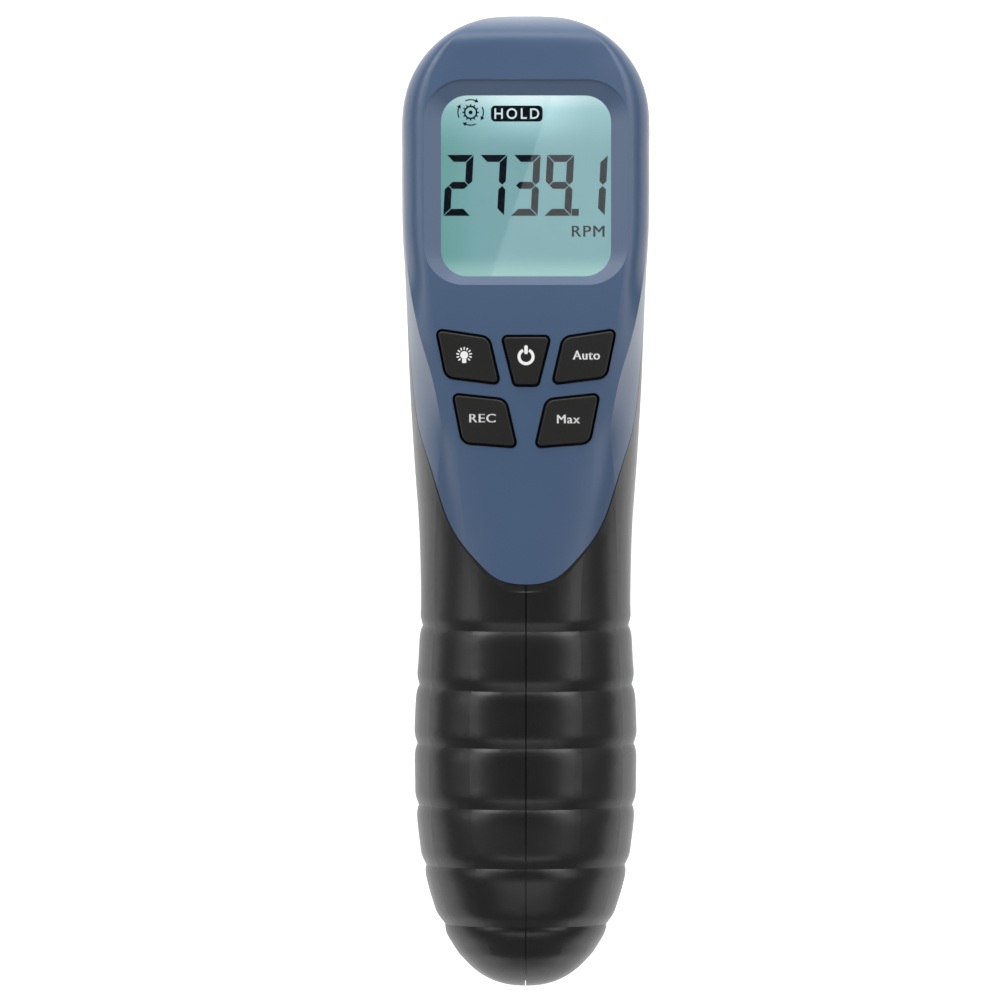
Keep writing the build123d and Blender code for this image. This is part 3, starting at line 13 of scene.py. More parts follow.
import bpy
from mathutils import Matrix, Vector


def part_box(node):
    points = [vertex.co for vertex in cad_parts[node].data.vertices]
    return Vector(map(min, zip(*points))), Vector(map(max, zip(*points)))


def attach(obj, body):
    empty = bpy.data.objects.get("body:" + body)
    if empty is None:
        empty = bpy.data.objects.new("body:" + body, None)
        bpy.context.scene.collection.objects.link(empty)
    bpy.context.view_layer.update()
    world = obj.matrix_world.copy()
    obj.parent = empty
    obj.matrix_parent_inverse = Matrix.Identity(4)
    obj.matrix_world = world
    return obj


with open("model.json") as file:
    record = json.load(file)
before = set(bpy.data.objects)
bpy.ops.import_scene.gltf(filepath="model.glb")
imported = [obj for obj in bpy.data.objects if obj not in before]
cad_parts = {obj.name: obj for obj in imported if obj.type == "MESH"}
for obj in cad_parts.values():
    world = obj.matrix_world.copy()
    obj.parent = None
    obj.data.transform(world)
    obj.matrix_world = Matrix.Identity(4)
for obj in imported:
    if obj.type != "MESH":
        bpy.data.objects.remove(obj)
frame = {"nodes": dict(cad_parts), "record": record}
bpy.context.view_layer.update()
nodes = frame["nodes"]
MM = 0.001
print("pieces from the construction model:", len(nodes))

# %% [markdown]
# ## Working one piece at a time
#
# An operator acts on everything that is selected, and a freshly loaded model is selected all over.
# So each step first clears the selection and then picks the one piece that it works on.

# %% Selecting
def deselect():
    """Clears the selection."""
    bpy.ops.object.select_all(action="DESELECT")


def only(piece):
    """Makes one piece the selected and active one."""
    deselect()
    piece.select_set(True)
    bpy.context.view_layer.objects.active = piece


def settle(piece):
    """Puts the piece's place, turn and scale into its mesh."""
    only(piece)
    bpy.ops.object.transform_apply(location=True, rotation=True, scale=True)


deselect()

# %% [markdown]
# ## The camera
#
# The photograph looks straight down on the face from far away, so that the sides hardly show. A
# long lens 1.5 m above the middle of the body does that. The instrument lies a little to the right
# of the middle of the picture, and the camera stands over the middle of the picture.

# %% Camera
MIDDLE_LEVEL = 25 * MM
CAMERA_RISE = 1.5
VIEW_WIDTH = 216.7 * MM
SENSOR_WIDTH = 36.0
PICTURE_X, PICTURE_Y = -5.43 * MM, 0.32 * MM

bpy.ops.object.camera_add(location=(PICTURE_X, PICTURE_Y, MIDDLE_LEVEL + CAMERA_RISE),
                          rotation=(0, 0, 0))
camera = bpy.context.object
camera.name = "camera"
camera.data.sensor_width = SENSOR_WIDTH
camera.data.lens = SENSOR_WIDTH * CAMERA_RISE / VIEW_WIDTH
bpy.context.scene.camera = camera
bpy.context.scene.view_settings.view_transform = "Standard"
print("lens:", round(camera.data.lens), "mm")

# %% [markdown]
# ## Nodes and colours
#
# A material is a small network of nodes. One helper adds a node, sets its fields, and sets or links
# its inputs. The others stand for what comes up again and again: a mix of two colours, one step of
# arithmetic, a change of range, a cloudy pattern, and a bump. Colours are written as they are on a
# screen, in hex, and one function turns them into the linear light that Blender counts in.

# %% Helpers for materials
# The sockets of a Mix node, when it mixes colours, have these places
FACTOR, FIRST, SECOND, MIXED = 0, 6, 7, 2
SMOOTH = "SMOOTHSTEP"


def linear(code):
    """Turns a screen colour such as 4E617E into linear light, by the sRGB curve."""
    parts = [int(code[i:i + 2], 16) / 255 for i in (0, 2, 4)]
    return tuple(p / 12.92 if p <= 0.04045 else ((p + 0.055) / 1.055) ** 2.4
                 for p in parts) + (1.0,)


def add(tree, kind, inputs=None, **fields):
    """Adds one node, with its fields and with inputs that are values or other nodes' outputs."""
    node = tree.nodes.new("ShaderNode" + kind)
    for field, value in fields.items():
        setattr(node, field, value)
    for socket, value in (inputs or {}).items():
        if isinstance(value, bpy.types.NodeSocket):
            tree.links.new(value, node.inputs[socket])
        else:
            node.inputs[socket].default_value = value
    return node


def mixed(tree, factor, first, second):
    """Mixes two colours, each a hex code or another node's output."""
    first, second = (linear(c) if isinstance(c, str) else c for c in (first, second))
    inputs = {FACTOR: factor, FIRST: first, SECOND: second}
    return add(tree, "Mix", inputs, data_type="RGBA").outputs[MIXED]


def reckon(tree, operation, *values, **fields):
    """One step of arithmetic, on numbers or other nodes' outputs."""
    return add(tree, "Math", dict(enumerate(values)), operation=operation, **fields).outputs[0]


def ramp(tree, value, start, end, low, high, curve="LINEAR"):
    """Runs from low to high while the value runs from start to end."""
    inputs = {"Value": value, "From Min": start, "From Max": end, "To Min": low, "To Max": high}
    return add(tree, "MapRange", inputs, interpolation_type=curve).outputs[0]


def noise(tree, place, size, detail=2.0):
    """A cloudy pattern, whose clouds are about as large as the size says."""
    inputs = {"Vector": place, "Scale": 1 / size, "Detail": detail}
    return add(tree, "TexNoise", inputs).outputs["Fac"]


def relief(tree, pattern, strength, height):
    """Turns a pattern into small heights, which a shader takes as its normal."""
    inputs = {"Height": pattern, "Strength": strength, "Distance": height}
    return add(tree, "Bump", inputs).outputs[0]


def blank(name):
    """A new material, its empty tree, and the object's own coordinates."""
    material = bpy.data.materials.new(name)
    material.use_nodes = True
    tree = material.node_tree
    tree.nodes.clear()
    return material, tree, add(tree, "TexCoord").outputs["Object"]


def surface(tree, inputs, kind="BsdfPrincipled"):
    """Adds the last shader and joins it to the material's output."""
    shader = add(tree, kind, inputs)
    add(tree, "OutputMaterial", {"Surface": shader.outputs[0]})


# %% [markdown]
# ## The studio
#
# The instrument lies on a white table. Seen by the camera the table is just white, and a faint
# shadow stays on it. Mirror rays see it white as well, so that the flanks of the body pick it up.
# The room is dim and grey, and darkest straight above, where the camera stands.

# %% Table and room
TABLE_SIZE = 6.0
TABLE_DROP = 0.05 * MM
TABLE_CLOUD = 1 / 3
TABLE_GLOW = 0.9
ROOM_LIGHT = 0.2
CEILING_LIGHT = 0.03
# How far up the room starts to darken, and where it is darkest: 0 is the horizon, 1 is straight up
CEILING_EDGE, CEILING_HEART = 0.86, 0.975

bpy.ops.mesh.primitive_plane_add(size=TABLE_SIZE, location=(0, 0, -TABLE_DROP))
table = bpy.context.object
table.name = "table"
settle(table)
material, tree, place = blank("white_lit_table")
rays = add(tree, "LightPath").outputs
eye_or_mirror = reckon(tree, "ADD", rays["Is Camera Ray"], rays["Is Glossy Ray"])
seen = reckon(tree, "ADD", eye_or_mirror, rays["Is Transmission Ray"], use_clamp=True)
strength = reckon(tree, "MULTIPLY", seen, TABLE_GLOW)
board = mixed(tree, noise(tree, place, TABLE_CLOUD), "C4C6C8", "CCCDCE")
paint = add(tree, "BsdfDiffuse", {"Color": board})
glow = add(tree, "Emission", {"Color": linear("FFFFFF"), "Strength": strength})
surface(tree, {0: paint.outputs[0], 1: glow.outputs[0]}, "AddShader")
table.data.materials.append(material)

room = bpy.data.worlds.new("dim_room")
bpy.context.scene.world = room
room.use_nodes = True
tree = room.node_tree
tree.nodes.clear()
direction = add(tree, "TexCoord").outputs["Generated"]
upwards = add(tree, "SeparateXYZ", {0: direction}).outputs["Z"]
dim = ramp(tree, upwards, CEILING_EDGE, CEILING_HEART, ROOM_LIGHT, CEILING_LIGHT, SMOOTH)
bright = reckon(tree, "MAXIMUM", dim, add(tree, "LightPath").outputs["Is Camera Ray"])
sky = add(tree, "Background", {"Color": linear("FFFFFF"), "Strength": bright})
add(tree, "OutputWorld", {"Surface": sky.outputs[0]})

# %% [markdown]
# ## Soft boxes
#
# Soft boxes stand round the table, the one beyond the head low and the others half-way up. The one
# beyond the head lights the lower wall of the display's recess and the rim of the forehead. One on
# each side draws the broad band of light along the grip. A small one stands between the head's box
# and each side's box, so that the shoulder below each groove is brighter than its rib. A narrow one
# at the foot lights the slanting lower end of each rib.

# %% Lamps
LAMP_DISTANCE = 1.25
SOFT_BOXES = {
    # Name: azimuth and height in degrees, width and length in metres, brightness (white is 1)
    "soft_box_head": (90, 26, 1.5, 0.9, 2.6),
    "soft_box_left": (158, 45, 1.6, 0.5, 1.85),
    "soft_box_right": (22, 53, 1.6, 0.5, 1.75),
    "soft_box_foot": (270, 51, 1.3, 0.24, 1.4),
    "soft_box_corner_left": (137, 43, 0.45, 0.5, 3.0),
    "soft_box_corner_right": (43, 45, 0.45, 0.5, 2.6),
}


def soft_box(name, azimuth, height, width, length, brightness):
    """An area lamp that looks at the middle of the object. It needs pi watts for each square metre
    to look as bright as white."""
    turn, rise = math.radians(azimuth), math.radians(height)
    x = LAMP_DISTANCE * math.cos(rise) * math.cos(turn)
    y = LAMP_DISTANCE * math.cos(rise) * math.sin(turn)
    z = LAMP_DISTANCE * math.sin(rise) + MIDDLE_LEVEL
    bpy.ops.object.light_add(type="AREA", location=(x, y, z))
    lamp = bpy.context.object
    lamp.name = name
    lamp.rotation_euler = (math.radians(90) - rise, 0, turn + math.radians(90))
    lamp.data.shape = "RECTANGLE"
    lamp.data.size = width
    lamp.data.size_y = length
    lamp.data.energy = brightness * math.pi * width * length
    print(name, "at", round(x, 2), round(y, 2), round(z, 2))


for name, settings in SOFT_BOXES.items():
    soft_box(name, *settings)

# %% [markdown]
# ## The card over the display
#
# The clear window mirrors what hangs above it. In the photograph a pale card beside the camera
# shows in it, and its straight edge runs across the display. The card here hangs just above the
# camera's level, and only mirror rays and rays through clear parts can see it.

# %% Card
CARD_LEVEL = 1.7
CARD_EDGE_START, CARD_EDGE_END = (-9.1 * MM, 103.4 * MM), (13.9 * MM, 171.1 * MM)
CARD_WIDTH, CARD_LENGTH = 0.1, 0.2
CARD_CLOUD = 1 / 6
CARD_GLOW = 1.0

edge_x = CARD_EDGE_END[0] - CARD_EDGE_START[0]
edge_y = CARD_EDGE_END[1] - CARD_EDGE_START[1]
edge_turn = math.atan2(edge_y, edge_x)
card_x = (CARD_EDGE_START[0] + CARD_EDGE_END[0]) / 2 + math.sin(edge_turn) * CARD_WIDTH / 2
card_y = (CARD_EDGE_START[1] + CARD_EDGE_END[1]) / 2 - math.cos(edge_turn) * CARD_WIDTH / 2
deselect()
bpy.ops.mesh.primitive_plane_add(size=1, location=(card_x, card_y, CARD_LEVEL),
                                 rotation=(math.pi, 0, edge_turn))
card = bpy.context.object
card.name = "pale_card"
card.scale = (CARD_LENGTH, CARD_WIDTH, 1)
settle(card)
material, tree, place = blank("pale_card_glow")
tone = mixed(tree, noise(tree, place, CARD_CLOUD), "F3F6FA", "FFFFFF")
surface(tree, {"Color": tone, "Strength": CARD_GLOW}, "Emission")
card.data.materials.append(material)
card.visible_camera = False
card.visible_diffuse = False
card.visible_shadow = False

# %% [markdown]
# ## Satin moulded ABS
#
# The casing is injection-moulded ABS. The mould was spark-eroded, which leaves a very fine grain,
# so the surface is satin: it mirrors lamps as soft bands. The real grain is about 0.05 mm, too fine
# to show here, so it is drawn at 0.35 mm. A slow drift in tone and gloss comes from how the melt
# flowed.

# %% The moulded plastics
GRAIN = 0.35 * MM
GRAIN_STRENGTH = 0.6
DRIFT = 22 * MM
DRIFT_DETAIL = 3.0
# How much of the unevenness is drift. The rest is grain
DRIFT_SHARE = 0.75
# Noise keeps near its middle, so this part of its range is spread over the whole range of gloss
NOISE_LOW, NOISE_HIGH = 0.3, 0.7
PLASTIC_IOR = 1.54


def moulded(name, pale, deep, gloss, dull, grain_depth):
    """A moulded plastic with a fine grain, between two tones and between two roughnesses."""
    material, tree, place = blank(name)
    drift = noise(tree, place, DRIFT, DRIFT_DETAIL)
    grain = noise(tree, place, GRAIN)
    slow = reckon(tree, "MULTIPLY", drift, DRIFT_SHARE)
    uneven = reckon(tree, "MULTIPLY_ADD", grain, 1 - DRIFT_SHARE, slow)
    surface(tree, {"Base Color": mixed(tree, uneven, deep, pale), "IOR": PLASTIC_IOR,
                   "Roughness": ramp(tree, uneven, NOISE_LOW, NOISE_HIGH, gloss, dull),
                   "Normal": relief(tree, grain, GRAIN_STRENGTH, grain_depth)})
    return material


# Slate blue of the face cover: a calm mid blue with a satin shine
blue_abs = moulded("satin_moulded_abs_slate_blue", "4B607F", "455A77", 0.3, 0.37, 0.006 * MM)
# Black of the halves: near black with a soft shine, so that every rib draws a band
black_abs = moulded("satin_moulded_abs_black", "1D1B1C", "181617", 0.29, 0.36, 0.006 * MM)
# Charcoal of the keys: a duller skin, so that the white legends stand out
key_abs = moulded("matt_moulded_abs_charcoal", "191716", "141312", 0.4, 0.46, 0.008 * MM)
# Small black parts inside and below: as moulded, with a finer grain
inner_black = moulded("moulded_abs_jet_black", "1B1B1C", "151516", 0.3, 0.4, 0.004 * MM)
# White parts inside: they throw the backlight forward
inner_white = moulded("moulded_abs_white", "E6E5E0", "DCDBD5", 0.4, 0.5, 0.005 * MM)
# Epoxy of the chips: dead black and dull
chip_epoxy = moulded("moulded_epoxy_black", "202022", "19191B", 0.55, 0.65, 0.01 * MM)

# %% [markdown]
# ## Rubber and foam
#
# Silicone is soft and slightly milky. Closed-cell foam is black and dull, with cells of about half
# a millimetre, which a bump of small rounded cells gives.

# %% Silicone and foam
SILICONE_CLOUD = 4 * MM
SILICONE_IOR = 1.41
FOAM_CELL = 0.5 * MM


def silicone_rubber():
    """Pale grey moulded silicone: dull and faintly clouded."""
    material, tree, place = blank("moulded_silicone_grey")
    milk = noise(tree, place, SILICONE_CLOUD, 4.0)
    surface(tree, {"Base Color": mixed(tree, milk, "8D9197", "A2A6AB"),
                   "Roughness": 0.6, "IOR": SILICONE_IOR,
                   "Normal": relief(tree, milk, 0.3, 0.02 * MM)})
    return material


def closed_cell_foam():
    """Black foam strip, cut from sheet: dull, with open rounded cells on the cut."""
    material, tree, place = blank("cut_closed_cell_foam_black")
    cells = add(tree, "TexVoronoi", {"Vector": place, "Scale": 1 / FOAM_CELL}).outputs["Distance"]
    surface(tree, {"Base Color": mixed(tree, cells, "0E0E0E", "262626"), "Roughness": 0.9,
                   "Normal": relief(tree, cells, 0.8, 0.08 * MM)})
    return material


silicone = silicone_rubber()
foam = closed_cell_foam()

# %% [markdown]
# ## Clear parts
#
# The display window and the laser's lens are polished acrylic: clear and smooth, with crisp
# reflections. The receiver looks through a dark red filter glass, which keeps room light out.

# %% Acrylic and filter glass
ACRYLIC_IOR = 1.49
FILTER_IOR = 1.52
POLISH_WAVE = 9 * MM
POLISH_HAZE = 0.02


def polished_acrylic():
    """Clear polished acrylic, with a trace of unevenness in its polish."""
    material, tree, place = blank("polished_clear_acrylic")
    wave = noise(tree, place, POLISH_WAVE, 1.0)
    surface(tree, {"Base Color": mixed(tree, wave, "F6FCFC", "FCFFFF"), "IOR": ACRYLIC_IOR,
                   "Roughness": ramp(tree, wave, 0.0, 1.0, 0.0, POLISH_HAZE),
                   "Transmission Weight": 1.0})
    return material


def red_filter_glass():
    """Deep red filter glass: almost black until light falls through it."""
    material, tree, place = blank("polished_red_filter_glass")
    wave = noise(tree, place, POLISH_WAVE)
    surface(tree, {"Base Color": mixed(tree, wave, "5A0C12", "6E1218"), "IOR": FILTER_IOR,
                   "Roughness": 0.04, "Transmission Weight": 0.85,
                   "Coat Weight": 0.3, "Coat Roughness": 0.02})
    return material


clear_acrylic = polished_acrylic()
filter_glass = red_filter_glass()

# %% [markdown]
# ## The lit display
#
# Behind the liquid-crystal glass lies a white slab that lamps light from the middle of its top
# edge. So the glow is strongest there and dies away to the sides and downwards, with a little more
# at the bottom, where the slab ends. The left is greener and the top bluer, as the lamps differ a
# little.

# %% Display glass
window_low, window_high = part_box("display_lens")
GLOW_INSET = 1.6 * MM
GLOW_TOP = window_high.y - GLOW_INSET
GLOW_FOOT = window_low.y + GLOW_INSET
GLOW_SIDE = window_low.x + GLOW_INSET
GLOW_MIDDLE = (window_low.x + window_high.x) / 2
# How far each glow reaches, and how strong it is
GLOW_TOP_FALL = 12 * MM
GLOW_TOP_EDGE, GLOW_TOP_EDGE_SHARE = 3.2 * MM, 0.85
GLOW_MIDDLE_WIDTH, GLOW_CORNER_SHARE = 15 * MM, 0.35
GLOW_FOOT_FALL, GLOW_FOOT_SHARE = 4.5 * MM, 0.6
GLOW_SIDE_FALL, GLOW_SIDE_SHARE = 9 * MM, 0.55
LCD_MOTTLE = 15 * MM
LCD_SPECULAR = 0.2


def lit_display():
    """Display glass with its backlight on. The light is in the emission, the colour is dark."""
    material, tree, place = blank("lit_liquid_crystal_glass")
    axis = add(tree, "SeparateXYZ", {0: place}).outputs
    offside = reckon(tree, "SUBTRACT", axis["X"], GLOW_MIDDLE)
    aside = reckon(tree, "ABSOLUTE", offside)
    centred = ramp(tree, aside, 0.0, GLOW_MIDDLE_WIDTH, 1.0, GLOW_CORNER_SHARE, SMOOTH)

    green = ramp(tree, axis["X"], GLOW_SIDE, GLOW_SIDE + GLOW_SIDE_FALL, GLOW_SIDE_SHARE, 0.0,
                 SMOOTH)
    upper = ramp(tree, axis["Y"], GLOW_TOP - GLOW_TOP_FALL, GLOW_TOP, 0.0, 1.0, SMOOTH)
    spot = reckon(tree, "MULTIPLY", upper, centred)
    rim = ramp(tree, axis["Y"], GLOW_TOP - GLOW_TOP_EDGE, GLOW_TOP, 0.0, GLOW_TOP_EDGE_SHARE,
               SMOOTH)
    edge = reckon(tree, "MULTIPLY", rim, centred)
    lower = ramp(tree, axis["Y"], GLOW_FOOT, GLOW_FOOT + GLOW_FOOT_FALL, GLOW_FOOT_SHARE, 0.0,
                 SMOOTH)

    light = mixed(tree, noise(tree, place, LCD_MOTTLE), "78A6AA", "86B0B5")
    for share, colour in ((green, "64A096"), (spot, "C4F0F6"), (edge, "F0FEFE"),
                          (lower, "ACD6D0")):
        light = mixed(tree, share, light, colour)
    surface(tree, {"Base Color": linear("182022"), "Roughness": 0.35,
                   "Specular IOR Level": LCD_SPECULAR,
                   "Emission Color": light, "Emission Strength": 1.0})
    return material


def crystal_ink(name, pale, deep):
    """One kind of area on the display, with the even glow that comes through it."""
    material, tree, place = blank(name)
    tone = mixed(tree, noise(tree, place, LCD_MOTTLE), deep, pale)
    surface(tree, {"Base Color": linear("06080C"), "Roughness": 0.4,
                   "Specular IOR Level": LCD_SPECULAR,
                   "Emission Color": tone, "Emission Strength": 1.0})
    return material


lcd_lit = lit_display()
# Switched-on crystal stops the backlight
lcd_ink = crystal_ink("switched_on_crystal_dark", "040A18", "02050F")
# The letters of HOLD stay clear in their dark box, so the backlight shines through them
lcd_clear = crystal_ink("unswitched_crystal_letters", "E4F4F6", "D2ECF0")

# %% [markdown]
# ## Boards, foil and wires
#
# The boards are glass-fibre with green solder resist over copper tracks, which show as slightly
# paler lines. The sensor's ribbon is amber foil with broad tracks along it, and the leads are red
# PVC.

# %% Boards, foil and wires
# A Brick pattern at scale 1 has rows this high
BRICK_ROW = 0.25
TRACK_PITCH = 1.95 * MM
TRACK_WIDTH = 0.012
BLACK, WHITE = (0, 0, 0, 1), (1, 1, 1, 1)
# A Wave pattern at scale 1 has bands this far apart
WAVE_BAND = 2 * math.pi / 20
FOIL_PITCH = 5.0265 * MM
WIRE_CLOUD = 1.2 * MM


def solder_resist_board():
    """Green lacquer over copper tracks: the tracks stand up a little and look paler."""
    material, tree, place = blank("solder_resist_on_glass_fibre")
    tracks = add(tree, "TexBrick", {"Vector": place, "Scale": BRICK_ROW / TRACK_PITCH,
                                    "Mortar Size": TRACK_WIDTH, "Color1": BLACK,
                                    "Color2": BLACK, "Mortar": WHITE}).outputs["Color"]
    surface(tree, {"Base Color": mixed(tree, tracks, "0F4A2C", "2B7A4C"), "Roughness": 0.32,
                   "IOR": 1.5, "Normal": relief(tree, tracks, 0.5, 0.03 * MM)})
    return material


def polyimide_foil():
    """Amber foil with copper tracks along its length."""
    material, tree, place = blank("etched_polyimide_foil")
    tracks = add(tree, "TexWave", {"Vector": place, "Scale": WAVE_BAND / FOIL_PITCH,
                                   "Distortion": 0.0},
                 wave_type="BANDS", bands_direction="X").outputs["Fac"]
    surface(tree, {"Base Color": mixed(tree, tracks, "A8691C", "D39A45"), "Roughness": 0.25,
                   "IOR": 1.6})
    return material


def pvc_insulation():
    """Red PVC insulation: smooth and waxy."""
    material, tree, place = blank("extruded_pvc_insulation_red")
    tone = mixed(tree, noise(tree, place, WIRE_CLOUD), "8E1411", "A81D18")
    surface(tree, {"Base Color": tone, "Roughness": 0.35, "IOR": 1.53})
    return material


board_finish = solder_resist_board()
foil = polyimide_foil()
wire = pvc_insulation()

# %% [markdown]
# ## Metals
#
# Screws, pins and the spring are zinc-plated steel: grey and faintly mottled. The laser's tube is
# turned brass, so its marks run round it in rings. The battery has a printed steel case, dark with
# a paler band at the end that carries its contacts.

# %% Metals
PLATING_MOTTLE = 0.8 * MM
TURNING_PITCH = 1.5708 * MM
battery_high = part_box("battery")[1]
BATTERY_BAND = 9 * MM


def zinc_plated_steel():
    """Plated steel: bright grey, slightly uneven in gloss."""
    material, tree, place = blank("zinc_plated_steel")
    mottle = noise(tree, place, PLATING_MOTTLE, 4.0)
    surface(tree, {"Base Color": mixed(tree, mottle, "9FA1A4", "C2C3C5"), "Metallic": 1.0,
                   "Roughness": ramp(tree, mottle, 0.0, 1.0, 0.22, 0.42)})
    return material


def turned_brass():
    """Brass from the lathe, with rings across its length."""
    material, tree, place = blank("turned_brass")
    rings = add(tree, "TexWave", {"Vector": place, "Scale": WAVE_BAND / TURNING_PITCH,
                                  "Distortion": 0.6},
                wave_type="BANDS", bands_direction="Z").outputs["Fac"]
    surface(tree, {"Base Color": mixed(tree, rings, "B28B45", "D6B36A"), "Metallic": 1.0,
                   "Roughness": 0.26, "Normal": relief(tree, rings, 0.4, 0.01 * MM)})
    return material


def printed_steel_case():
    """Battery case: dark print over steel, and a paler band at the contact end."""
    material, tree, place = blank("printed_steel_battery_case")
    axis = add(tree, "SeparateXYZ", {0: place}).outputs
    band = reckon(tree, "GREATER_THAN", axis["Y"], battery_high.y - BATTERY_BAND)
    scuff = noise(tree, place, PLATING_MOTTLE, 3.0)
    surface(tree, {"Base Color": mixed(tree, band, "2A2E36", "B9A36B"), "Metallic": 0.4,
                   "Roughness": ramp(tree, scuff, 0.0, 1.0, 0.2, 0.4)})
    return material


steel = zinc_plated_steel()
brass = turned_brass()
battery_case = printed_steel_case()

# %% [markdown]
# ## Dressing the solids
#
# Every solid names the finish it has, so one table joins the finishes to the materials. The meshes
# aren't touched: only the material in each slot changes.

# %% Give each solid its material
FINISHES = {
    "blue_shell": blue_abs, "black_shell": black_abs, "key_plastic": key_abs,
    "black_plastic": inner_black, "white_plastic": inner_white, "chip": chip_epoxy,
    "clear_lens": clear_acrylic, "optic_glass": filter_glass, "lcd_glass": lcd_lit,
    "lcd_ink": lcd_ink, "foam": foam, "silicone": silicone, "board": board_finish,
    "ribbon": foil, "lead_wire": wire, "steel": steel, "brass": brass,
    "battery_case": battery_case,
}

for row in frame["record"]["subparts"]:
    solid = nodes[row["node"]]
    solid.data.materials.clear()
    solid.data.materials.append(FINISHES[row["material_slot"]])
print("finishes used:", len(FINISHES))

# %% [markdown]
# ## Ink for the legends
#
# The legends on the keys are pad-printed: a soft pad lays down a white ink about 0.02 mm thick. It
# is matt, and it lies on the key's slope. So each legend is modelled flat, laid onto the key from
# above with a Shrinkwrap modifier, and then given a hair of thickness with Solidify. The words and
# signs of the display are laid onto its glass in the same way.

# %% Ink and a way to lay it down
INK_LIFT = 0.015 * MM
INK_THICK = 0.02 * MM
INK_CLOUD = 0.6 * MM
# Flat shapes are made at this level, well above the keys, and dropped from there
SIGN_LEVEL = MIDDLE_LEVEL * 2 + 10 * MM


def pad_print_ink():
    """White pad-printing ink: opaque and matt, a touch uneven."""
    material, tree, place = blank("matt_pad_printing_ink_white")
    tone = mixed(tree, noise(tree, place, INK_CLOUD), "F0F0F0", "F8F8F8")
    surface(tree, {"Base Color": tone, "Roughness": 0.6, "IOR": 1.5})
    return material


white_ink = pad_print_ink()


def lay_down(piece, target, material, body):
    """Drops a flat shape that faces up onto a solid, gives it thickness, material and body."""
    settle(piece)
    wrap = piece.modifiers.new("drop", "SHRINKWRAP")
    wrap.target = target
    wrap.wrap_method = "PROJECT"
    wrap.use_project_z = True
    wrap.use_positive_direction = False
    wrap.use_negative_direction = True
    bpy.ops.object.modifier_apply(modifier="drop")
    bpy.ops.object.mode_set(mode="EDIT")
    bpy.ops.mesh.select_all(action="SELECT")
    bpy.ops.mesh.normals_make_consistent(inside=False)
    bpy.ops.transform.translate(value=(0, 0, INK_LIFT))
    bpy.ops.object.mode_set(mode="OBJECT")
    if piece.data.polygons[0].normal.z < 0:
        piece.data.flip_normals()
    thick = piece.modifiers.new("thick", "SOLIDIFY")
    thick.thickness = INK_THICK
    thick.offset = 1.0
    bpy.ops.object.modifier_apply(modifier="thick")
    piece.data.materials.clear()
    piece.data.materials.append(material)
    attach(piece, body)
    heights = [v.co.z / MM for v in piece.data.vertices]
    print(piece.name, "on", target.name, "at", round(min(heights), 2), "to",
          round(max(heights), 2), "mm")


# %% [markdown]
# ## Words
#
# The words on the keys and on the display are plain sans-serif. A text object makes the letters.
# Once it is a mesh it is scaled to fill the box that the real word fills, so its size is known
# exactly. Fatter outlines spoil an M, so bold letters are printed twice, the second time a little
# to the right.

# %% Words as flat meshes
LETTER_CURVE_STEPS = 6
# Corners of a letter that lie closer than this are one corner. A letter is about 1 high here
SAME_CORNER = 0.0001
KEY_WORDS = {
    # Key: letters, then left, right, low, high and the shift of the second print, in mm
    "auto": ("Auto", 9.93, 15.71, 30.27, 32.2, 0.13),
    "record": ("REC", -12.08, -6.45, 16.92, 18.75, 0.11),
    "max": ("Max", 6.58, 11.49, 16.72, 18.55, 0.11),
}


def word(name, letters, left, right, low, high, bold=0.0, weight=0.0, spread=1.1):
    """A word as a flat mesh that fills a box. Bold is the shift of a second print, weight swells
    the strokes all round, and spread parts the letters."""
    deselect()
    bpy.ops.object.text_add(location=(0, 0, SIGN_LEVEL))
    piece = bpy.context.object
    piece.name = name
    piece.data.body = letters
    piece.data.offset = weight
    piece.data.space_character = spread
    piece.data.resolution_u = LETTER_CURVE_STEPS
    bpy.ops.object.convert(target="MESH")
    piece = bpy.context.object
    xs = [v.co.x for v in piece.data.vertices]
    ys = [v.co.y for v in piece.data.vertices]
    across = (right - bold - left) / (max(xs) - min(xs))
    along = (high - low) / (max(ys) - min(ys))
    piece.scale = (across, along, 1)
    piece.location.x = left - min(xs) * across
    piece.location.y = low - min(ys) * along
    bpy.ops.object.mode_set(mode="EDIT")
    bpy.ops.mesh.select_all(action="SELECT")
    bpy.ops.mesh.remove_doubles(threshold=SAME_CORNER)
    if bold:
        bpy.ops.mesh.duplicate()
        bpy.ops.transform.translate(value=(bold, 0, 0))
    bpy.ops.object.mode_set(mode="OBJECT")
    return piece


for key, (letters, left, right, low, high, bold) in KEY_WORDS.items():
    legend = word(f"legend_{key}", letters, left * MM, right * MM, low * MM, high * MM,
                  bold=bold * MM)
    lay_down(legend, nodes[f"key_{key}"], white_ink, f"{key}_button")

# %% [markdown]
# ## Rings, discs and bars
#
# The power sign, the lamp sign and the turning sign on the display are drawn from three things: a
# ring, a short bar, and a disc. A ring starts as a circle of edges, which is extruded and scaled
# outwards. The faces in its gaps are then selected by their direction and deleted.

# %% Parts of a sign
ROUND_STEPS = 72
CORNER_STEPS = 6


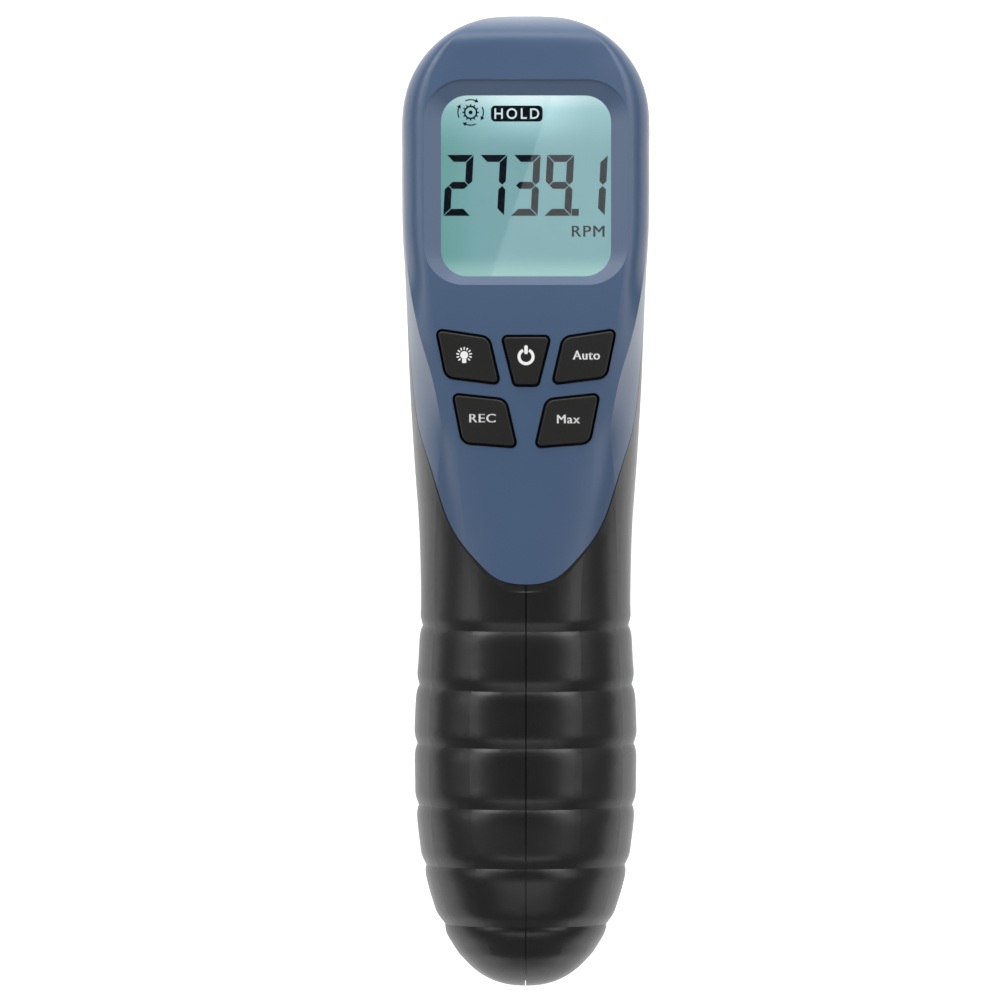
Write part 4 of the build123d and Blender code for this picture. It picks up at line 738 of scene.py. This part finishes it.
def ring(name, x, y, inner, outer, keep=None):
    """A flat ring. keep says of a direction in degrees, from 0 to 360, if the ring is there."""
    deselect()
    bpy.ops.mesh.primitive_circle_add(vertices=ROUND_STEPS, radius=inner,
                                      location=(x, y, SIGN_LEVEL))
    piece = bpy.context.object
    piece.name = name
    settle(piece)
    bpy.ops.object.mode_set(mode="EDIT")
    bpy.ops.mesh.select_all(action="SELECT")
    bpy.ops.mesh.extrude_edges_move()
    bpy.ops.transform.resize(value=(outer / inner, outer / inner, 1),
                             center_override=(x, y, SIGN_LEVEL))
    bpy.ops.object.mode_set(mode="OBJECT")
    if keep:
        for face in piece.data.polygons:
            turn = math.degrees(math.atan2(face.center.y - y, face.center.x - x)) % 360
            face.select = not keep(turn)
        bpy.ops.object.mode_set(mode="EDIT")
        bpy.ops.mesh.select_mode(type="FACE")
        bpy.ops.mesh.delete(type="FACE")
        bpy.ops.object.mode_set(mode="OBJECT")
    return piece


def disc(name, x, y, radius):
    """A flat round spot."""
    deselect()
    bpy.ops.mesh.primitive_circle_add(vertices=ROUND_STEPS // 2, radius=radius,
                                      fill_type="NGON", location=(x, y, SIGN_LEVEL))
    piece = bpy.context.object
    piece.name = name
    settle(piece)
    return piece


def bar(name, x, y, width, length, turn, corner):
    """A flat bar with rounded corners, its length along Y before it is turned, in degrees."""
    deselect()
    bpy.ops.mesh.primitive_plane_add(size=1, location=(x, y, SIGN_LEVEL),
                                     rotation=(0, 0, math.radians(turn)))
    piece = bpy.context.object
    piece.name = name
    piece.scale = (width, length, 1)
    settle(piece)
    bpy.ops.object.mode_set(mode="EDIT")
    bpy.ops.mesh.select_all(action="SELECT")
    bpy.ops.mesh.bevel(offset=corner, segments=CORNER_STEPS, affect="VERTICES")
    bpy.ops.object.mode_set(mode="OBJECT")
    return piece


def joined(name, pieces):
    """Joins flat shapes into one piece."""
    deselect()
    for piece in pieces:
        piece.select_set(True)
    bpy.context.view_layer.objects.active = pieces[0]
    bpy.ops.object.join()
    pieces[0].name = name
    return pieces[0]


def round_point(x, y, radius, turn):
    """A point on a circle round x, y, at a direction in degrees."""
    return (x + radius * math.cos(math.radians(turn)), y + radius * math.sin(math.radians(turn)))


# %% [markdown]
# ## The signs on the keys
#
# The power key has the usual broken ring with a bar in the gap. The lamp key has a bulb: a disc, a
# short neck below it, and eleven rays spread evenly from one side of the neck to the other.

# %% Power sign
POWER_X, POWER_Y = 0.0, 30.9 * MM
POWER_OUTER, POWER_INNER = 1.82 * MM, 1.16 * MM
# The middle of the gap, and how far it opens to each side, in degrees
POWER_GAP_MIDDLE, POWER_GAP = 90, 27
POWER_BAR_WIDTH, POWER_BAR_LOW, POWER_BAR_HIGH = 0.76 * MM, 0.54 * MM, 2.4 * MM
POWER_BAR_CORNER = 0.3 * MM


def outside_gap(turn):
    """Whether a direction lies outside the gap of the power sign."""
    return abs(turn - POWER_GAP_MIDDLE) > POWER_GAP


power_ring = ring("power_ring", POWER_X, POWER_Y, POWER_INNER, POWER_OUTER, keep=outside_gap)
power_bar = bar("power_bar", POWER_X, POWER_Y + (POWER_BAR_LOW + POWER_BAR_HIGH) / 2,
                POWER_BAR_WIDTH, POWER_BAR_HIGH - POWER_BAR_LOW, 0, POWER_BAR_CORNER)
lay_down(joined("legend_power", [power_ring, power_bar]), nodes["key_power"], white_ink,
         "power_button")

# %% Lamp sign
LAMP_X, LAMP_Y = -13.15 * MM, 31.25 * MM
BULB_RADIUS = 0.84 * MM
RAY_COUNT, RAY_FROM, RAY_SWEEP = 11, -43, 266
RAY_INNER, RAY_OUTER, RAY_WIDTH, RAY_CORNER = 1.08 * MM, 1.72 * MM, 0.27 * MM, 0.13 * MM
# The neck's ends are measured down from the middle of the bulb
NECK_WIDTH, NECK_LOW, NECK_HIGH, NECK_CORNER = 0.9 * MM, 1.7 * MM, 0.7 * MM, 0.15 * MM

lamp_parts = [disc("bulb", LAMP_X, LAMP_Y, BULB_RADIUS)]
lamp_parts.append(bar("bulb_neck", LAMP_X, LAMP_Y - (NECK_LOW + NECK_HIGH) / 2, NECK_WIDTH,
                      NECK_LOW - NECK_HIGH, 0, NECK_CORNER))
for count in range(RAY_COUNT):
    turn = RAY_FROM + RAY_SWEEP * count / (RAY_COUNT - 1)
    x, y = round_point(LAMP_X, LAMP_Y, (RAY_INNER + RAY_OUTER) / 2, turn)
    lamp_parts.append(bar(f"ray_{count}", x, y, RAY_WIDTH, RAY_OUTER - RAY_INNER, turn - 90,
                          RAY_CORNER))
lay_down(joined("legend_lamp", lamp_parts), nodes["key_backlight"], white_ink,
         "backlight_button")

# %% [markdown]
# ## The signs on the display
#
# Besides its figures the display shows a toothed wheel with arrows round it, the word HOLD in a
# dark box, and the unit RPM. They lie on the glass under the window, as the figures do.

# %% Turning sign
WHEEL_X, WHEEL_Y = -11.8 * MM, 83.05 * MM
WHEEL_INNER, WHEEL_OUTER = 1.1 * MM, 1.45 * MM
TOOTH_COUNT, TOOTH_WIDTH, TOOTH_LENGTH, TOOTH_CORNER = 12, 0.3 * MM, 0.42 * MM, 0.05 * MM
HUB_RADIUS = 0.42 * MM
ARROW_INNER, ARROW_OUTER = 2.58 * MM, 2.84 * MM
ARROW_COUNT, ARROW_SWEEP, ARROW_FROM = 4, 54, -27
ARROW_HEAD = 0.55 * MM


def arrow_head(name, turn):
    """A small triangle at the end of an arc, pointing clockwise."""
    deselect()
    x, y = round_point(WHEEL_X, WHEEL_Y, (ARROW_INNER + ARROW_OUTER) / 2, turn)
    bpy.ops.mesh.primitive_circle_add(vertices=3, radius=ARROW_HEAD, fill_type="NGON",
                                      location=(x, y, SIGN_LEVEL),
                                      rotation=(0, 0, math.radians(turn + 180)))
    piece = bpy.context.object
    piece.name = name
    settle(piece)
    return piece


def in_arc(turn):
    """Whether one of the arcs covers a direction."""
    return (turn - ARROW_FROM) % (360 / ARROW_COUNT) < ARROW_SWEEP


sign = [ring("wheel", WHEEL_X, WHEEL_Y, WHEEL_INNER, WHEEL_OUTER),
        disc("hub", WHEEL_X, WHEEL_Y, HUB_RADIUS)]
for count in range(TOOTH_COUNT):
    turn = 360 * count / TOOTH_COUNT
    # A quarter of each tooth is sunk in the rim
    x, y = round_point(WHEEL_X, WHEEL_Y, WHEEL_OUTER + TOOTH_LENGTH / 4, turn)
    sign.append(bar(f"tooth_{count}", x, y, TOOTH_WIDTH, TOOTH_LENGTH, turn - 90, TOOTH_CORNER))
sign.append(ring("arcs", WHEEL_X, WHEEL_Y, ARROW_INNER, ARROW_OUTER, keep=in_arc))
for count in range(ARROW_COUNT):
    sign.append(arrow_head(f"head_{count}", ARROW_FROM + 360 / ARROW_COUNT * count))
lay_down(joined("turning_sign", sign), nodes["lcd_glass"], lcd_ink, "housing")

# %% HOLD and RPM
HOLD_LEFT, HOLD_RIGHT, HOLD_LOW, HOLD_HIGH = -7.47 * MM, 3.56 * MM, 81.1 * MM, 84.5 * MM
HOLD_CORNER = 0.9 * MM
HOLD_MARGIN_X, HOLD_MARGIN_Y = 0.75 * MM, 0.55 * MM
RPM_LEFT, RPM_RIGHT, RPM_LOW, RPM_HIGH = 9.77 * MM, 16.76 * MM, 56.55 * MM, 58.9 * MM

plate = bar("hold_plate", (HOLD_LEFT + HOLD_RIGHT) / 2, (HOLD_LOW + HOLD_HIGH) / 2,
            HOLD_RIGHT - HOLD_LEFT, HOLD_HIGH - HOLD_LOW, 0, HOLD_CORNER)
lay_down(plate, nodes["lcd_glass"], lcd_ink, "housing")
hold_word = word("hold_word", "HOLD", HOLD_LEFT + HOLD_MARGIN_X, HOLD_RIGHT - HOLD_MARGIN_X,
                 HOLD_LOW + HOLD_MARGIN_Y, HOLD_HIGH - HOLD_MARGIN_Y, weight=0.012, spread=1.35)
lay_down(hold_word, plate, lcd_clear, "housing")
rpm_word = word("rpm_word", "RPM", RPM_LEFT, RPM_RIGHT, RPM_LOW, RPM_HIGH, bold=0.12 * MM,
                spread=1.15)
lay_down(rpm_word, nodes["lcd_glass"], lcd_ink, "housing")

# %% [markdown]
# ## The last update
#
# The view layer is updated once more, so that every piece's place is current.

# %% Last update
bpy.context.view_layer.update()
